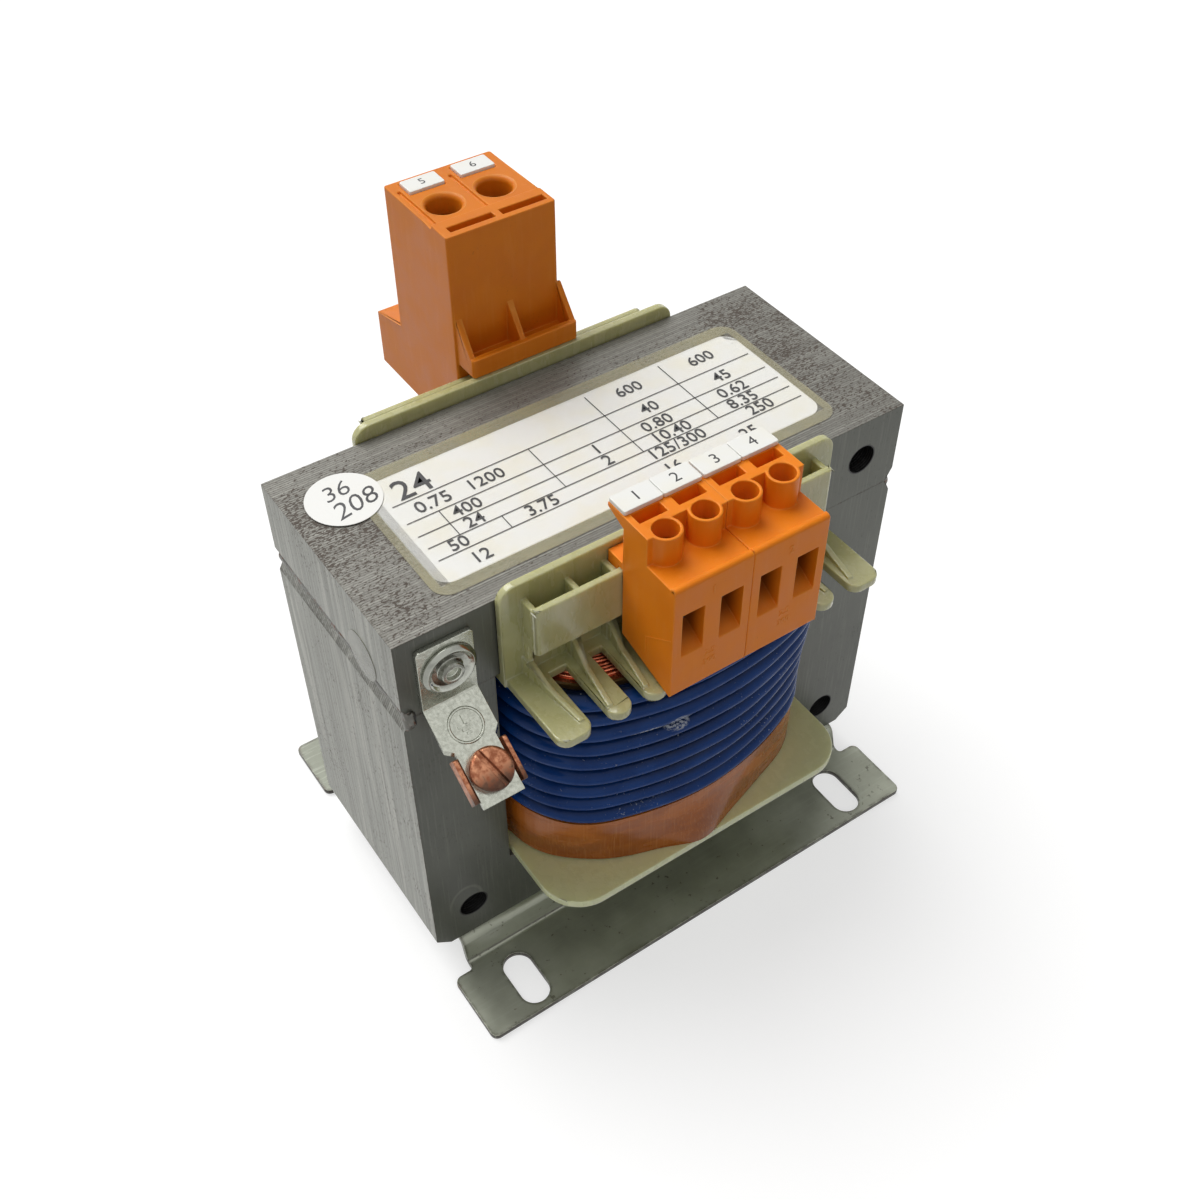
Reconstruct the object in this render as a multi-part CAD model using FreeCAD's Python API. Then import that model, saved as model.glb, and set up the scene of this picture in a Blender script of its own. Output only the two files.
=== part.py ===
import FreeCAD, Part
import math
import os

from FreeCAD import Vector

# Laminated chassis transformer, in millimetres.
# The origin is the centre of the four mounting slots, on the underside of the feet.
# +X points out of the side with the four-way terminals, +Y to the right as seen from there, +Z up.

# Core of stamped E and I sheets
SHEET_THICKNESS = 0.5
SHEET_COUNT = 92
CORE_WIDTH = 105.0
OUTER_LEG = 17.5
TONGUE = 35.0
WINDOW_HEIGHT = 52.5
YOKE = 17.5
CORE_HOLE = 5.8
CORE_HOLE_INSET = 8.75
CORE_CHAMFER_Y = 3.0
CORE_CHAMFER_Z = 2.5
WELD_GROOVE_HEIGHT = 5.4
WELD_GROOVE_DEPTH = 1.4
WELD_BEAD_RADIUS = 2.1

# Feet
FOOT_SHEET = 1.2
FOOT_DROP = 5.6
FOOT_BEND = 1.0
FOOT_UNDER_CORE = 11.0
FOOT_STEP_RUN = 1.6
FOOT_PLATE_INNER = 27.4
FOOT_PLATE_OUTER = 42.6
FOOT_SHORTER_THAN_CORE = 1.0
FOOT_NOTCH_LENGTH = 4.3
FOOT_CORNER = 1.5
FOOT_NOTCH = 0.8
SLOT_SPACING_X = 70.0
SLOT_SPACING_Y = 80.0
SLOT_WIDTH = 6.0
SLOT_LENGTH = 12.0

# Bobbin
TUBE_CLEARANCE = 0.2
TUBE_WALL = 1.4
FLANGE_THICKNESS = 1.8
FLANGE_CLEARANCE = 0.2
FLANGE_SIDE_CLEARANCE = 0.7
FLANGE_REACH = 41.5
FLANGE_CORNER = 8.5
RAIL_WALL = 1.5
RAIL_ABOVE_CORE = 2.8
RAIL_CORNER = 3.0
POCKET_DEPTH = 3.2
POCKET_WALL = 1.3
POCKET_WALL_HEIGHT = 10.2
POCKET_END_INSET = 3.9
COMB_PITCH = 7.2
COMB_FINGERS_PER_HALF = 3
COMB_ROOT_REACH = 27.2
FINGER_WIDTH = 4.5
FINGER_INSET = 0.2
FINGER_TIP = 2.2
END_FINGER_WIDTH = 6.6
END_FINGER_INSET = 0.4
RIB_THICKNESS = 1.1
RIB_HEIGHT = 1.3
RIB_BELOW_CORE_TOP = 0.6
RIB_LEAN = 7.0

# Windings
WINDING_CLEARANCE = 0.1
WINDING_BELOW_FLANGE = 1.2
WINDING_SIDE_CLEARANCE = 1.4
WINDING_CORNER = 19.0
WINDING_CROWN = 62.0
TURN_COUNT = 9
TURN_PITCH = 3.92
TURN_DEPTH = 3.85
TURN_GROOVE = 1.15
TURNS_TOP_GAP = 0.52
TAPE_INSET = 0.75
LAYER_WRAP = 0.5
PRIMARY_TOP_GAP = 1.0

# Leads from the windings to the terminals
THIN_LEAD_RADIUS = 0.5
THIN_LEAD_LEVEL = 0.9
THICK_LEAD_RADIUS = 1.9
THICK_CORE_RADIUS = 1.25
THICK_LEAD_SWEEP = 11.0
THICK_LEAD_BELOW = 2.4

# All terminals
TERMINAL_SEAT_GAP = 0.05
TENON_CLEARANCE = 0.1
TENON_RISE = 1.5
TENON_LENGTH = 8.0
CAGE_CLEARANCE = 0.15
THREAD_CLEARANCE = 0.05
PIN_THICKNESS = 0.8
MARKER_THICKNESS = 0.9
MARKER_GAP = 0.1
MARKER_CORNER = 0.4

# Front terminals
FRONT_CENTRE_Y = 1.45
FRONT_PITCH = 7.62
FRONT_MODULE_WIDTH = 15.4
FRONT_MODULE_GAP = 0.05
FRONT_REACH = 43.1
FRONT_HEIGHT_ABOVE_CORE = 12.0
FRONT_DECK_BELOW_TOP = 5.6
FRONT_RIM_HEIGHT = 0.4
FRONT_RIM_WIDTH = 1.3
FRONT_BOTTOM_BELOW_TOP = 30.0
FRONT_SLANT_RISE = 3.7
FRONT_BODY_REACH = 33.4
FRONT_CHEEK_REACH = 35.6
FRONT_EDGE = 0.75
TOWER_REACH = 35.0
TOWER_OUTER = 2.8
TOWER_BORE = 2.2
WING_TIP = 25.0
WING_TIP_THICKNESS = 0.8
WING_ROOT_THICKNESS = 2.6
TOP_POCKET_WIDTH = 5.4
TOP_POCKET_DEPTH = 2.4
TOP_POCKET_REACH = 29.5
TOP_POCKET_SINK = 5.5
ENTRY_WIDTH = 4.3
ENTRY_HEIGHT = 9.4
ENTRY_BELOW_TOP = 11.4
ENTRY_FUNNEL = 3.0
FRONT_CAGE_WIDTH = 5.2
FRONT_CAGE_DEPTH = 6.4
FRONT_CAGE_HEIGHT = 11.0
FRONT_CAGE_WALL = 0.9
FRONT_CAGE_BELOW_TOP = 10.8
FRONT_SCREW_RADIUS = 1.45
FRONT_SCREW_HEAD = 2.0
FRONT_SCREW_HEAD_HEIGHT = 2.0
FRONT_SCREW_SINK = 4.0
FRONT_SCREW_LENGTH = 11.0
FRONT_SCREW_SLOT_WIDTH = 0.6
FRONT_SCREW_SLOT_DEPTH = 0.8
FRONT_PIN_WIDTH = 2.0
FRONT_PIN_BACK = 0.7
FRONT_PIN_ABOVE_COMB = 2.2
FRONT_MARKER_REACH = 29.4

# Rear terminal
REAR_CENTRE_Y = 1.3
REAR_PITCH = 10.5
REAR_WIDTH = 22.3
REAR_BODY_REACH = 51.6
REAR_HOOD_REACH = 62.0
REAR_HEIGHT_ABOVE_CORE = 28.7
REAR_HOOD_BELOW_CORE = 1.1
REAR_HOOD_SLOPE = 2.9
REAR_BOTTOM_BELOW_CORE = 16.0
REAR_HEEL_RISE = 1.4
REAR_HEEL_RUN = 6.0
REAR_HOOD_INSET = 0.35
REAR_SLANT_RUN = 7.7
REAR_SLANT_DROP = 10.0
REAR_BAR_WIDTH = 5.4
REAR_BAR_RISE = 0.6
REAR_SLIT_LENGTH = 9.1
REAR_SLIT_WIDTH = 1.7
REAR_SLIT_REACH = 30.6
REAR_SLIT_SHIFT = 0.45
REAR_SLIT_SINK = 5.0
REAR_HOLE_RADIUS = 3.8
REAR_HOLE_REACH = 40.3
REAR_EDGE = 0.5
REAR_LIP_REACH = 23.9
REAR_LIP_ABOVE_RAIL = 3.8
REAR_LIP_WALL = 1.3
REAR_LIP_LEFT = -9.4
REAR_LIP_RIGHT = 13.1
REAR_GUSSET = 1.1
REAR_GUSSET_RISE = 5.8
REAR_ENTRY_WIDTH = 8.0
REAR_ENTRY_HEIGHT = 8.4
REAR_ENTRY_FLOOR = 2.1
REAR_CAGE_WIDTH = 8.8
REAR_CAGE_DEPTH = 9.6
REAR_CAGE_HEIGHT = 15.0
REAR_CAGE_WALL = 1.2
REAR_CAGE_FLOOR = 1.6
REAR_SCREW_RADIUS = 2.4
REAR_SCREW_HEAD = 3.5
REAR_SCREW_HEAD_HEIGHT = 3.0
REAR_SCREW_SINK = 4.6
REAR_SCREW_LENGTH = 24.0
REAR_SCREW_SLOT_WIDTH = 1.0
REAR_SCREW_SLOT_DEPTH = 1.2
REAR_PIN_WIDTH = 4.0
REAR_PIN_BELOW = 2.2
REAR_TAG_LENGTH = 7.2
REAR_TAG_WIDTH = 4.2
REAR_TAG_REACH = 48.3
REAR_TAG_SHIFT = 0.25
REAR_TAG_RECESS = 0.4
GROOVE_WIDTH = 0.7
GROOVE_SINK = 0.5
GROOVE_FROM_HOLE = 4.6

# Earth connection
TAB_SHEET = 1.0
TAB_WIDTH = 10.3
TAB_OFF_HOLE = 0.25
TAB_BELOW_CORE_TOP = 2.7
TAB_BEND_BELOW_CORE_TOP = 16.5
TAB_BEND = 0.8
TAB_ANGLE = 33.0
TAB_LEG = 18.7
TAB_NECK_WIDTH = 7.7
TAB_NECK_SHIFT = 0.2
TAB_SHOULDER_REACH = 29.8
TAB_SHOULDER_RUN = 1.0
TAB_CORNER = 0.8
TAB_SCREW_AT = 13.4
EARTH_SCREW_RADIUS = 2.0
EARTH_SCREW_HOLE = 2.2
EARTH_SCREW_HEAD = 3.75
EARTH_SCREW_HEAD_HEIGHT = 2.2
EARTH_SCREW_LENGTH = 8.0
EARTH_SLOT_WIDTH = 1.0
EARTH_SLOT_DEPTH = 1.1
EARTH_SLOT_TURN = 17.0
CLAMP_PLATE = 0.8
CLAMP_LUG = 0.8
CLAMP_LUG_RISE = 0.7
CLAMP_LUG_GAP = 0.35
CLAMP_FROM = 9.4
CLAMP_TO = 17.4
RIVET_HEAD = 4.9
RIVET_RIM = 0.5
RIVET_HEAD_HEIGHT = 1.8
RIVET_RING = 2.2
RIVET_BORE = 1.3
RIVET_BORE_DEPTH = 1.0
RIVET_CLEARANCE = 0.08
RIVET_LENGTH = 14.0

# Labels
LABEL_SHEET = 0.1
LABEL_BACK = -12.3
LABEL_FRONT = 16.0
LABEL_END_INSET = 12.8
LABEL_CORNER = 3.2
FILM_MARGIN_FRONT = 2.4
FILM_MARGIN_BACK = 2.7
FILM_MARGIN_SIDE = 1.5
STICKER_RADIUS = 6.65
STICKER_X = -11.3
STICKER_EDGE_INSET = 9.8
SEAL_RADIUS = 4.7
SEAL_X = 10.5
SEAL_ABOVE_JOINT = 4.7

# Levels and edges that follow from the sizes above
STACK_HALF = SHEET_THICKNESS * SHEET_COUNT / 2
CORE_BASE = FOOT_SHEET + FOOT_DROP
WINDOW_BASE = CORE_BASE + YOKE
JOINT = WINDOW_BASE + WINDOW_HEIGHT
CORE_TOP = JOINT + YOKE
HALF_WIDTH = CORE_WIDTH / 2
FOOT_LENGTH = CORE_WIDTH - FOOT_SHORTER_THAN_CORE
FOOT_NECK_LENGTH = FOOT_LENGTH - 2 * FOOT_NOTCH_LENGTH
WINDOW_OUTER = HALF_WIDTH - OUTER_LEG
HOLE_REACH_Y = HALF_WIDTH - CORE_HOLE_INSET
UPPER_HOLE_LEVEL = CORE_TOP - CORE_HOLE_INSET
TUBE_INNER_X = STACK_HALF + TUBE_CLEARANCE
TUBE_INNER_Y = TONGUE / 2 + TUBE_CLEARANCE
TUBE_OUTER_X = TUBE_INNER_X + TUBE_WALL
TUBE_OUTER_Y = TUBE_INNER_Y + TUBE_WALL
FLANGE_HALF_Y = WINDOW_OUTER - FLANGE_SIDE_CLEARANCE
POCKET_HALF_LENGTH = FLANGE_HALF_Y - POCKET_END_INSET
FINGER_REACH = FLANGE_REACH - FINGER_INSET
END_FINGER_OUTER = FLANGE_HALF_Y - END_FINGER_INSET
END_FINGER_INNER = END_FINGER_OUTER - END_FINGER_WIDTH
LOWER_FLANGE = WINDOW_BASE + FLANGE_CLEARANCE
WINDING_BASE = LOWER_FLANGE + FLANGE_THICKNESS + WINDING_CLEARANCE
COMB_TOP = JOINT - FLANGE_CLEARANCE
UPPER_FLANGE = COMB_TOP - FLANGE_THICKNESS
RAIL_OUTER = TUBE_INNER_X + RAIL_WALL
RAIL_TOP = CORE_TOP + RAIL_ABOVE_CORE
POCKET_OUTER = RAIL_OUTER + POCKET_DEPTH + POCKET_WALL
TERMINAL_BACK = POCKET_OUTER + TERMINAL_SEAT_GAP
WINDING_HALF_X = FLANGE_REACH - WINDING_BELOW_FLANGE
WINDING_HALF_Y = WINDOW_OUTER - WINDING_SIDE_CLEARANCE
TURNS_TOP = UPPER_FLANGE - TURNS_TOP_GAP
TURNS_BASE = TURNS_TOP - TURN_COUNT * TURN_PITCH
FRONT_TOP = CORE_TOP + FRONT_HEIGHT_ABOVE_CORE
FRONT_DECK = FRONT_TOP - FRONT_DECK_BELOW_TOP
FRONT_BOTTOM = FRONT_TOP - FRONT_BOTTOM_BELOW_TOP
FRONT_CAGE_TOP = FRONT_TOP - FRONT_CAGE_BELOW_TOP
FRONT_CAGE_BASE = FRONT_CAGE_TOP - FRONT_CAGE_HEIGHT
REAR_TOP = CORE_TOP + REAR_HEIGHT_ABOVE_CORE
REAR_BOTTOM = CORE_TOP - REAR_BOTTOM_BELOW_CORE
REAR_CAGE_BASE = REAR_BOTTOM + REAR_CAGE_FLOOR
TAB_BEND_LEVEL = CORE_TOP - TAB_BEND_BELOW_CORE_TOP
TAB_MIDDLE_X = STACK_HALF + TAB_SHEET / 2
TAB_CENTRE_Y = -(HOLE_REACH_Y + TAB_OFF_HOLE)
LABEL_HALF_LENGTH = HALF_WIDTH - LABEL_END_INSET
STICKER_Y = -(HALF_WIDTH - STICKER_EDGE_INSET)


def box(x0, x1, y0, y1, z0, z1):
    return Part.makeBox(x1 - x0, y1 - y0, z1 - z0, Vector(x0, y0, z0))


def post(x, y, z0, z1, radius):
    return Part.makeCylinder(radius, z1 - z0, Vector(x, y, z0))


def rod_along_x(x0, x1, y, z, radius):
    return Part.makeCylinder(radius, x1 - x0, Vector(x0, y, z), Vector(1, 0, 0))


def face_of(points):
    return Part.Face(Part.makePolygon(points + points[:1]))


def prism_x(outline, x0, x1):
    """Extrude an outline of (y, z) corners from x0 to x1."""
    return face_of([Vector(x0, y, z) for y, z in outline]).extrude(Vector(x1 - x0, 0, 0))


def prism_y(outline, y0, y1):
    """Extrude an outline of (x, z) corners from y0 to y1."""
    return face_of([Vector(x, y0, z) for x, z in outline]).extrude(Vector(0, y1 - y0, 0))


def prism_z(outline, z0, z1):
    """Extrude an outline of (x, y) corners from z0 to z1."""
    return face_of([Vector(x, y, z0) for x, y in outline]).extrude(Vector(0, 0, z1 - z0))


def fuse(shapes):
    return shapes[0].multiFuse(shapes[1:]).removeSplitter()


def runs_along(edge, axis):
    """True for a straight edge parallel to the given axis vector."""
    if not isinstance(edge.Curve, Part.Line):
        return False
    return edge.tangentAt(edge.FirstParameter).cross(axis).Length < 1e-6


def round_edges(shape, radius, axis, chosen=lambda centre: True):
    """Fillet the straight edges along an axis whose middle point is chosen."""
    edges = [e for e in shape.Edges if runs_along(e, axis) and chosen(e.CenterOfMass)]
    return shape.makeFillet(radius, edges)


def rounded_sheet(x0, x1, y0, y1, z0, z1, radius):
    return round_edges(box(x0, x1, y0, y1, z0, z1), radius, Vector(0, 0, 1))


def to_rear(shape):
    """The same shape on the other side of the core."""
    return shape.mirror(Vector(0, 0, 0), Vector(1, 0, 0))


def to_left(shape):
    return shape.mirror(Vector(0, 0, 0), Vector(0, 1, 0))


def bent_sheet(corners, thickness, bend, y0, y1):
    """A folded sheet: its mid-line runs through the (x, z) corners, with inside bend radius bend."""
    points = [Vector(x, y0, z) for x, z in corners]
    walls = []
    for offset in (thickness / 2, -thickness / 2):
        start = points[0]
        for before, corner, after in zip(points, points[1:], points[2:]):
            run_in = (corner - before).normalize()
            run_out = (after - corner).normalize()
            left_in = Vector(-run_in.z, 0, run_in.x)
            left_out = Vector(-run_out.z, 0, run_out.x)
            sense = 1 if left_in.dot(run_out) > 0 else -1
            middle = bend + thickness / 2
            setback = middle * math.tan(run_in.getAngle(run_out) / 2)
            stop = corner - run_in * setback
            resume = corner + run_out * setback
            centre = stop + left_in * sense * middle
            halfway = centre + (corner - centre).normalize() * (middle - sense * offset)
            walls.append(Part.makeLine(start + left_in * offset, stop + left_in * offset))
            walls.append(Part.Arc(stop + left_in * offset, halfway, resume + left_out * offset).toShape())
            start = resume
        walls.append(Part.makeLine(start + left_out * offset, points[-1] + left_out * offset))
    for end, run in ((points[0], points[1] - points[0]), (points[-1], points[-1] - points[-2])):
        across = Vector(-run.z, 0, run.x).normalize() * thickness / 2
        walls.append(Part.makeLine(end + across, end - across))
    outline = Part.Wire(Part.__sortEdges__(walls))
    return Part.Face(outline).extrude(Vector(0, y1 - y0, 0))


def coil_centres(inset):
    """Reach, half width, corner radius, crown radius and their centres for one layer of the coil."""
    corner = WINDING_CORNER - inset
    crown = WINDING_CROWN - inset
    crown_x = WINDING_HALF_X - WINDING_CROWN
    corner_y = WINDING_HALF_Y - WINDING_CORNER
    corner_x = crown_x + math.sqrt((WINDING_CROWN - WINDING_CORNER) ** 2 - corner_y ** 2)
    sweep = math.asin(corner_y / (WINDING_CROWN - WINDING_CORNER))
    return corner, crown, crown_x, corner_x, corner_y, sweep


def coil_block(inset, z0, z1):
    """The solid outline of the coil at some depth below its surface, without its middle."""
    corner, crown, crown_x, corner_x, corner_y, sweep = coil_centres(inset)
    half_y = corner_y + corner
    tip = Vector(crown_x + crown * math.cos(sweep), crown * math.sin(sweep), z0)
    lean = (sweep + math.pi / 2) / 2
    bend = Vector(corner_x + corner * math.cos(lean), corner_y + corner * math.sin(lean), z0)
    front = Vector(crown_x + crown, 0, z0)
    side = Vector(corner_x, half_y, z0)

    def at(point, sx, sy):
        return Vector(point.x * sx, point.y * sy, point.z)

    edges = []
    for sx in (1, -1):
        edges.append(Part.Arc(at(side, sx, 1), at(bend, sx, 1), at(tip, sx, 1)).toShape())
        edges.append(Part.Arc(at(tip, sx, 1), at(front, sx, 1), at(tip, sx, -1)).toShape())
        edges.append(Part.Arc(at(tip, sx, -1), at(bend, sx, -1), at(side, sx, -1)).toShape())
    for sy in (1, -1):
        edges.append(Part.makeLine(at(side, 1, sy), at(side, -1, sy)))
    outline = Part.Wire(Part.__sortEdges__(edges))
    return Part.Face(outline).extrude(Vector(0, 0, z1 - z0))


def coil_section(profile, reach):
    """The cross-section of a layer from (depth, z) corners; a third number bulges the next edge."""
    edges = []
    for here, there in zip(profile, profile[1:] + profile[:1]):
        start = Vector(0, reach - here[0], here[1])
        end = Vector(0, reach - there[0], there[1])
        if len(here) == 3:
            across = Vector(0, end.z - start.z, start.y - end.y).normalize()
            edges.append(Part.Arc(start, (start + end) * 0.5 + across * here[2], end).toShape())
        else:
            edges.append(Part.makeLine(start, end))
    return Part.Face(Part.Wire(edges))


def wound_layer(profile):
    """Carry a cross-section round the coil: straight sides, round corners and crowned ends."""
    corner, crown, crown_x, corner_x, corner_y, sweep = coil_centres(0)
    turn = math.degrees(sweep)
    up = Vector(0, 0, 1)
    side = coil_section(profile, corner_y + corner)
    side.translate(Vector(-corner_x, 0, 0))
    straight = side.extrude(Vector(2 * corner_x, 0, 0))
    side.translate(Vector(2 * corner_x, 0, 0))
    bend = side.revolve(Vector(corner_x, corner_y, 0), up, turn - 90)
    end = coil_section(profile, crown)
    end.rotate(Vector(0, 0, 0), up, -90 - turn)
    end.translate(Vector(crown_x, 0, 0))
    crown_end = end.revolve(Vector(crown_x, 0, 0), up, 2 * turn)
    bends = [bend, to_left(bend), to_rear(bend), to_rear(to_left(bend))]
    return fuse([straight, to_left(straight), crown_end, to_rear(crown_end)] + bends)


def wire_run(points, radius):
    """A round wire through a few points, with a ball at each turn."""
    pieces = []
    for start, end in zip(points, points[1:]):
        run = end - start
        pieces.append(Part.makeCylinder(radius, run.Length, start, run))
    for corner in points[1:-1]:
        pieces.append(Part.makeSphere(radius, corner))
    return fuse(pieces)


def core_holes(level):
    """The pair of assembly holes through the whole stack at one level."""
    holes = []
    for y in (-HOLE_REACH_Y, HOLE_REACH_Y):
        holes.append(rod_along_x(-STACK_HALF - 1, STACK_HALF + 1, y, level, CORE_HOLE / 2))
    return holes


def weld_groove(side):
    """The V groove at the joint on one side of the stack."""
    edge = side * HALF_WIDTH
    root = side * (HALF_WIDTH - WELD_GROOVE_DEPTH)
    half = WELD_GROOVE_HEIGHT / 2
    return prism_x([(edge, JOINT - half), (root, JOINT), (edge, JOINT + half)], -STACK_HALF, STACK_HALF)


def e_lamination_stack():
    outline = [
        (-HALF_WIDTH, JOINT),
        (-HALF_WIDTH, CORE_BASE + CORE_CHAMFER_Z),
        (-HALF_WIDTH + CORE_CHAMFER_Y, CORE_BASE),
        (HALF_WIDTH - CORE_CHAMFER_Y, CORE_BASE),
        (HALF_WIDTH, CORE_BASE + CORE_CHAMFER_Z),
        (HALF_WIDTH, JOINT),
        (WINDOW_OUTER, JOINT),
        (WINDOW_OUTER, WINDOW_BASE),
        (TONGUE / 2, WINDOW_BASE),
        (TONGUE / 2, JOINT),
        (-TONGUE / 2, JOINT),
        (-TONGUE / 2, WINDOW_BASE),
        (-WINDOW_OUTER, WINDOW_BASE),
        (-WINDOW_OUTER, JOINT),
    ]
    stack = prism_x(outline, -STACK_HALF, STACK_HALF)
    cuts = core_holes(CORE_BASE + CORE_HOLE_INSET) + [weld_groove(-1), weld_groove(1)]
    return stack.cut(cuts)


def i_lamination_stack():
    bar = box(-STACK_HALF, STACK_HALF, -HALF_WIDTH, HALF_WIDTH, JOINT, CORE_TOP)
    return bar.cut(core_holes(UPPER_HOLE_LEVEL) + [weld_groove(-1), weld_groove(1)])


def weld_seam(side):
    """A bead that fills the root of the groove and stays inside the stack's width."""
    root = side * (HALF_WIDTH - WELD_GROOVE_DEPTH)
    middle = root - side * WELD_BEAD_RADIUS * 0.5
    bead = rod_along_x(-STACK_HALF, STACK_HALF, middle, JOINT, WELD_BEAD_RADIUS)
    return weld_groove(side).common(bead)


def front_foot():
    step_top = CORE_BASE - FOOT_SHEET / 2
    plate = FOOT_SHEET / 2
    knee = STACK_HALF + FOOT_SHEET / 2
    corners = [
        (STACK_HALF - FOOT_UNDER_CORE, step_top),
        (knee, step_top),
        (knee + FOOT_STEP_RUN, plate),
        (FOOT_PLATE_OUTER, plate),
    ]
    half_neck = FOOT_NECK_LENGTH / 2
    half_length = FOOT_LENGTH / 2
    strip = bent_sheet(corners, FOOT_SHEET, FOOT_BEND, -half_length, half_length)
    back = STACK_HALF - FOOT_UNDER_CORE - 1
    strip = strip.cut([
        box(back, FOOT_PLATE_INNER, half_neck, half_length + 1, -1, CORE_BASE + 1),
        box(back, FOOT_PLATE_INNER, -half_length - 1, -half_neck, -1, CORE_BASE + 1),
    ])
    upright = Vector(0, 0, 1)
    strip = round_edges(strip, FOOT_CORNER, upright, lambda c: abs(c.y) > half_length - 0.01)
    strip = round_edges(
        strip, FOOT_NOTCH, upright,
        lambda c: abs(abs(c.y) - half_neck) < 0.01 and abs(c.x - FOOT_PLATE_INNER) < 0.01)
    slots = []
    for y in (-SLOT_SPACING_Y / 2, SLOT_SPACING_Y / 2):
        centre = SLOT_SPACING_X / 2
        end = (SLOT_LENGTH - SLOT_WIDTH) / 2
        half = SLOT_WIDTH / 2
        slots.append(box(centre - end, centre + end, y - half, y + half, -1, FOOT_SHEET + 1))
        slots.append(post(centre - end, y, -1, FOOT_SHEET + 1, half))
        slots.append(post(centre + end, y, -1, FOOT_SHEET + 1, half))
    return strip.cut(slots)


def comb_positions():
    """The middles of the narrow fingers, in line with the walls between the pockets."""
    return [COMB_PITCH * n for n in range(-COMB_FINGERS_PER_HALF, COMB_FINGERS_PER_HALF + 1)]


def finger(y0, y1):
    plate = box(STACK_HALF + TUBE_CLEARANCE, FINGER_REACH, y0, y1, UPPER_FLANGE, COMB_TOP)
    return round_edges(plate, FINGER_TIP, Vector(0, 0, 1), lambda c: c.x > FINGER_REACH - 0.01)


def comb_rib(middle, lean):
    """A wall between two pockets that runs on down and out along its finger."""
    inner = RAIL_OUTER - RAIL_WALL / 2
    knee = RAIL_OUTER + POCKET_DEPTH
    tip = FINGER_REACH - FINGER_TIP
    mid_comb = UPPER_FLANGE + FLANGE_THICKNESS / 2
    y0 = middle - RIB_THICKNESS / 2
    y1 = middle + RIB_THICKNESS / 2
    top = CORE_TOP - RIB_BELOW_CORE_TOP
    upright = box(inner, POCKET_OUTER - POCKET_WALL / 2, y0, y1, CORE_TOP - POCKET_WALL_HEIGHT, top)
    web = box(inner, knee - POCKET_DEPTH / 2, y0, y1, mid_comb, top)
    crest = [
        (inner, mid_comb),
        (inner, COMB_TOP + 3 * RIB_HEIGHT),
        (knee - POCKET_DEPTH / 2, COMB_TOP + 3 * RIB_HEIGHT),
        (knee + POCKET_DEPTH, COMB_TOP + RIB_HEIGHT),
        (tip, COMB_TOP + RIB_HEIGHT / 3),
        (tip, mid_comb),
    ]
    ridge = prism_y(crest, y0, y1)
    ridge.rotate(Vector(knee, middle, 0), Vector(0, 0, 1), lean)
    return [upright, web, ridge]


def comb_rail():
    """One side of the bobbin's top: wall, pocket box, ribs and fingers, on the +X side."""
    wall = box(TUBE_INNER_X, RAIL_OUTER, -FLANGE_HALF_Y, FLANGE_HALF_Y, UPPER_FLANGE, RAIL_TOP)
    wall = round_edges(wall, RAIL_CORNER, Vector(1, 0, 0), lambda c: c.z > RAIL_TOP - 0.01)
    floor = CORE_TOP - POCKET_WALL_HEIGHT
    half = POCKET_HALF_LENGTH
    front = box(POCKET_OUTER - POCKET_WALL, POCKET_OUTER, -half, half, floor, CORE_TOP)
    front = round_edges(front, POCKET_WALL * 0.6, Vector(0, 0, 1), lambda c: c.x > POCKET_OUTER - 0.01)
    root = box(TUBE_INNER_X, COMB_ROOT_REACH, -END_FINGER_OUTER, END_FINGER_OUTER, UPPER_FLANGE, COMB_TOP)
    pieces = [wall, front, root]
    end_rib = POCKET_HALF_LENGTH - RIB_THICKNESS / 2
    pieces += comb_rib(-end_rib, RIB_LEAN) + comb_rib(end_rib, -RIB_LEAN)
    for y in comb_positions():
        outward = (y > 0) - (y < 0)
        pieces += comb_rib(y, outward * RIB_LEAN)
        pieces.append(finger(y - FINGER_WIDTH / 2, y + FINGER_WIDTH / 2))
    pieces += [finger(END_FINGER_INNER, END_FINGER_OUTER), finger(-END_FINGER_OUTER, -END_FINGER_INNER)]
    return fuse(pieces)


def bobbin():
    tube = rounded_sheet(
        -TUBE_OUTER_X, TUBE_OUTER_X, -TUBE_OUTER_Y, TUBE_OUTER_Y, LOWER_FLANGE, COMB_TOP, TUBE_WALL)
    lower = rounded_sheet(
        -FLANGE_REACH, FLANGE_REACH, -FLANGE_HALF_Y, FLANGE_HALF_Y,
        LOWER_FLANGE, LOWER_FLANGE + FLANGE_THICKNESS, FLANGE_CORNER)
    upper = box(-RAIL_OUTER, RAIL_OUTER, -FLANGE_HALF_Y, FLANGE_HALF_Y, UPPER_FLANGE, COMB_TOP)
    rail = comb_rail()
    former = fuse([tube, lower, upper, rail, to_rear(rail)])
    hole = box(-TUBE_INNER_X, TUBE_INNER_X, -TUBE_INNER_Y, TUBE_INNER_Y, LOWER_FLANGE - 1, JOINT)
    return former.cut(hole)


def margin_tape():
    """Layers of tape that fill the coil's edge below the thick turns."""
    band = coil_block(TAPE_INSET, WINDING_BASE, TURNS_BASE)
    return band.cut(coil_block(TURN_DEPTH, WINDING_BASE - 1, TURNS_BASE + 1))


def coil_surface(y):
    """How far the crowned end of the coil reaches at a given y."""
    return WINDING_HALF_X - WINDING_CROWN + math.sqrt(WINDING_CROWN ** 2 - y ** 2)


def rear_pole_positions():
    return [REAR_CENTRE_Y - REAR_PITCH / 2, REAR_CENTRE_Y + REAR_PITCH / 2]


def rear_pin_reach():
    """The outer face of the pins under the rear terminal."""
    return REAR_HOLE_REACH + REAR_CAGE_DEPTH / 2 + CAGE_CLEARANCE + PIN_THICKNESS


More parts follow.
